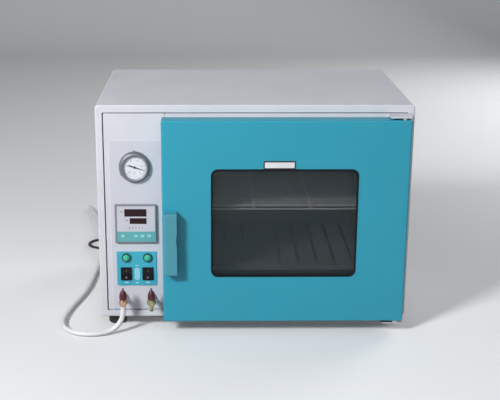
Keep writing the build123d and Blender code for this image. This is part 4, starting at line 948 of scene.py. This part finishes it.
def paleWhereSeen(tree, shown, hidden, glow, shader):
    # the camera, mirrors and glass meet the pale colour, and bounced light meets the greyer one
    path = addNode(tree, "ShaderNodeLightPath")
    seen = addNode(tree, "ShaderNodeMath", operation="MAXIMUM")
    join(tree, path.outputs["Is Camera Ray"], seen.inputs[0])
    join(tree, path.outputs["Is Glossy Ray"], seen.inputs[1])
    through = addNode(tree, "ShaderNodeMath", operation="MAXIMUM")
    join(tree, seen.outputs["Value"], through.inputs[0])
    join(tree, path.outputs["Is Transmission Ray"], through.inputs[1])
    lift = addNode(tree, "ShaderNodeMath", operation="MULTIPLY")
    join(tree, through.outputs["Value"], lift.inputs[0])
    lift.inputs[1].default_value = glow
    join(tree, lift.outputs["Value"], shader.inputs["Emission Strength"])
    shader.inputs["Emission Color"].default_value = (*shown, 1)
    mix = addNode(tree, "ShaderNodeMix", data_type="RGBA")
    join(tree, through.outputs["Value"], mix.inputs["Factor"])
    mix.inputs["A"].default_value = (*hidden, 1)
    mix.inputs["B"].default_value = (*shown, 1)
    return mix.outputs["Result"]


def makeStage(settings):
    material, tree, shader = newMaterial("floor")
    shown = settings["shown"]
    hidden = shade(shown, settings["shade"])
    colour = paleWhereSeen(tree, shown, hidden, settings["glow"], shader)
    join(tree, colour, shader.inputs["Base Color"])
    shader.inputs["Roughness"].default_value = settings["rough"]
    # one sheet: flat towards the user, a quarter circle at the wall, then straight up
    arc = np.linspace(0, pi / 2, settings["bendSteps"])
    depth = settings["wall"] + settings["bend"] * np.sin(arc)
    rise = settings["bend"] * (1 - np.cos(arc))
    profile = np.stack([depth, rise], -1)
    start, end = (-settings["reach"], 0), (depth[-1], settings["height"])
    profile = np.concatenate([[start], profile, [end]])
    points = [(x, y, z) for x in (-settings["reach"], settings["reach"]) for y, z in profile]
    count = len(profile)
    faces = [(j, count + j, count + j + 1, j + 1) for j in range(count - 1)]
    mesh = bpy.data.meshes.new("floor")
    mesh.from_pydata(points, [], faces)
    mesh.materials.append(material)
    mesh.shade_smooth()
    floor = bpy.data.objects.new("floor", mesh)
    scene.collection.objects.link(floor)


lamps = {
    "key": {"place": (-2.1, -2.5, 2.15), "aim": (0.0, -0.2, 0.3), "size": 0.7, "power": 120},
    "fill": {"place": (0.45, -1.40, 1.15), "aim": (0.05, -0.2, 0.35), "size": 0.8, "power": 3.0},
    "rear": {"place": (2.6, 2.4, 1.6), "aim": (0, 0.2, 0.3), "size": 2.0, "power": 62},
}


def makeLamps(settings):
    for name, lamp in settings.items():
        data = bpy.data.lights.new(name, "AREA")
        data.shape = "SQUARE"
        data.size = lamp["size"]
        data.energy = lamp["power"]
        item = bpy.data.objects.new(name, data)
        aim = Vector(lamp["aim"]) - Vector(lamp["place"])
        turn = aim.to_track_quat("-Z", "Y").to_matrix().to_4x4()
        item.matrix_world = Matrix.Translation(lamp["place"]) @ turn
        item.visible_camera = False
        scene.collection.objects.link(item)


worldSet = {"colour": (0.86, 0.89, 0.95), "strength": 0.17, "beyond": (0.62, 0.63, 0.65)}


def makeWorld(settings):
    world = bpy.data.worlds.new("studio")
    world.use_nodes = True
    tree = world.node_tree
    background = tree.nodes["Background"]
    background.inputs["Color"].default_value = (*settings["colour"], 1)
    background.inputs["Strength"].default_value = settings["strength"]
    # beyond the floor's edges the camera sees a pale colour, which lights nothing
    beyond = addNode(tree, "ShaderNodeBackground")
    beyond.inputs["Color"].default_value = (*settings["beyond"], 1)
    path = addNode(tree, "ShaderNodeLightPath")
    choice = addNode(tree, "ShaderNodeMixShader")
    join(tree, path.outputs["Is Camera Ray"], choice.inputs[0])
    join(tree, background.outputs[0], choice.inputs[1])
    join(tree, beyond.outputs[0], choice.inputs[2])
    join(tree, choice.outputs[0], tree.nodes["World Output"].inputs["Surface"])
    scene.world = world


makeStage(stageSet)
makeLamps(lamps)
makeWorld(worldSet)
scene.view_settings.view_transform = "Standard"
print("floor, lamps and world")
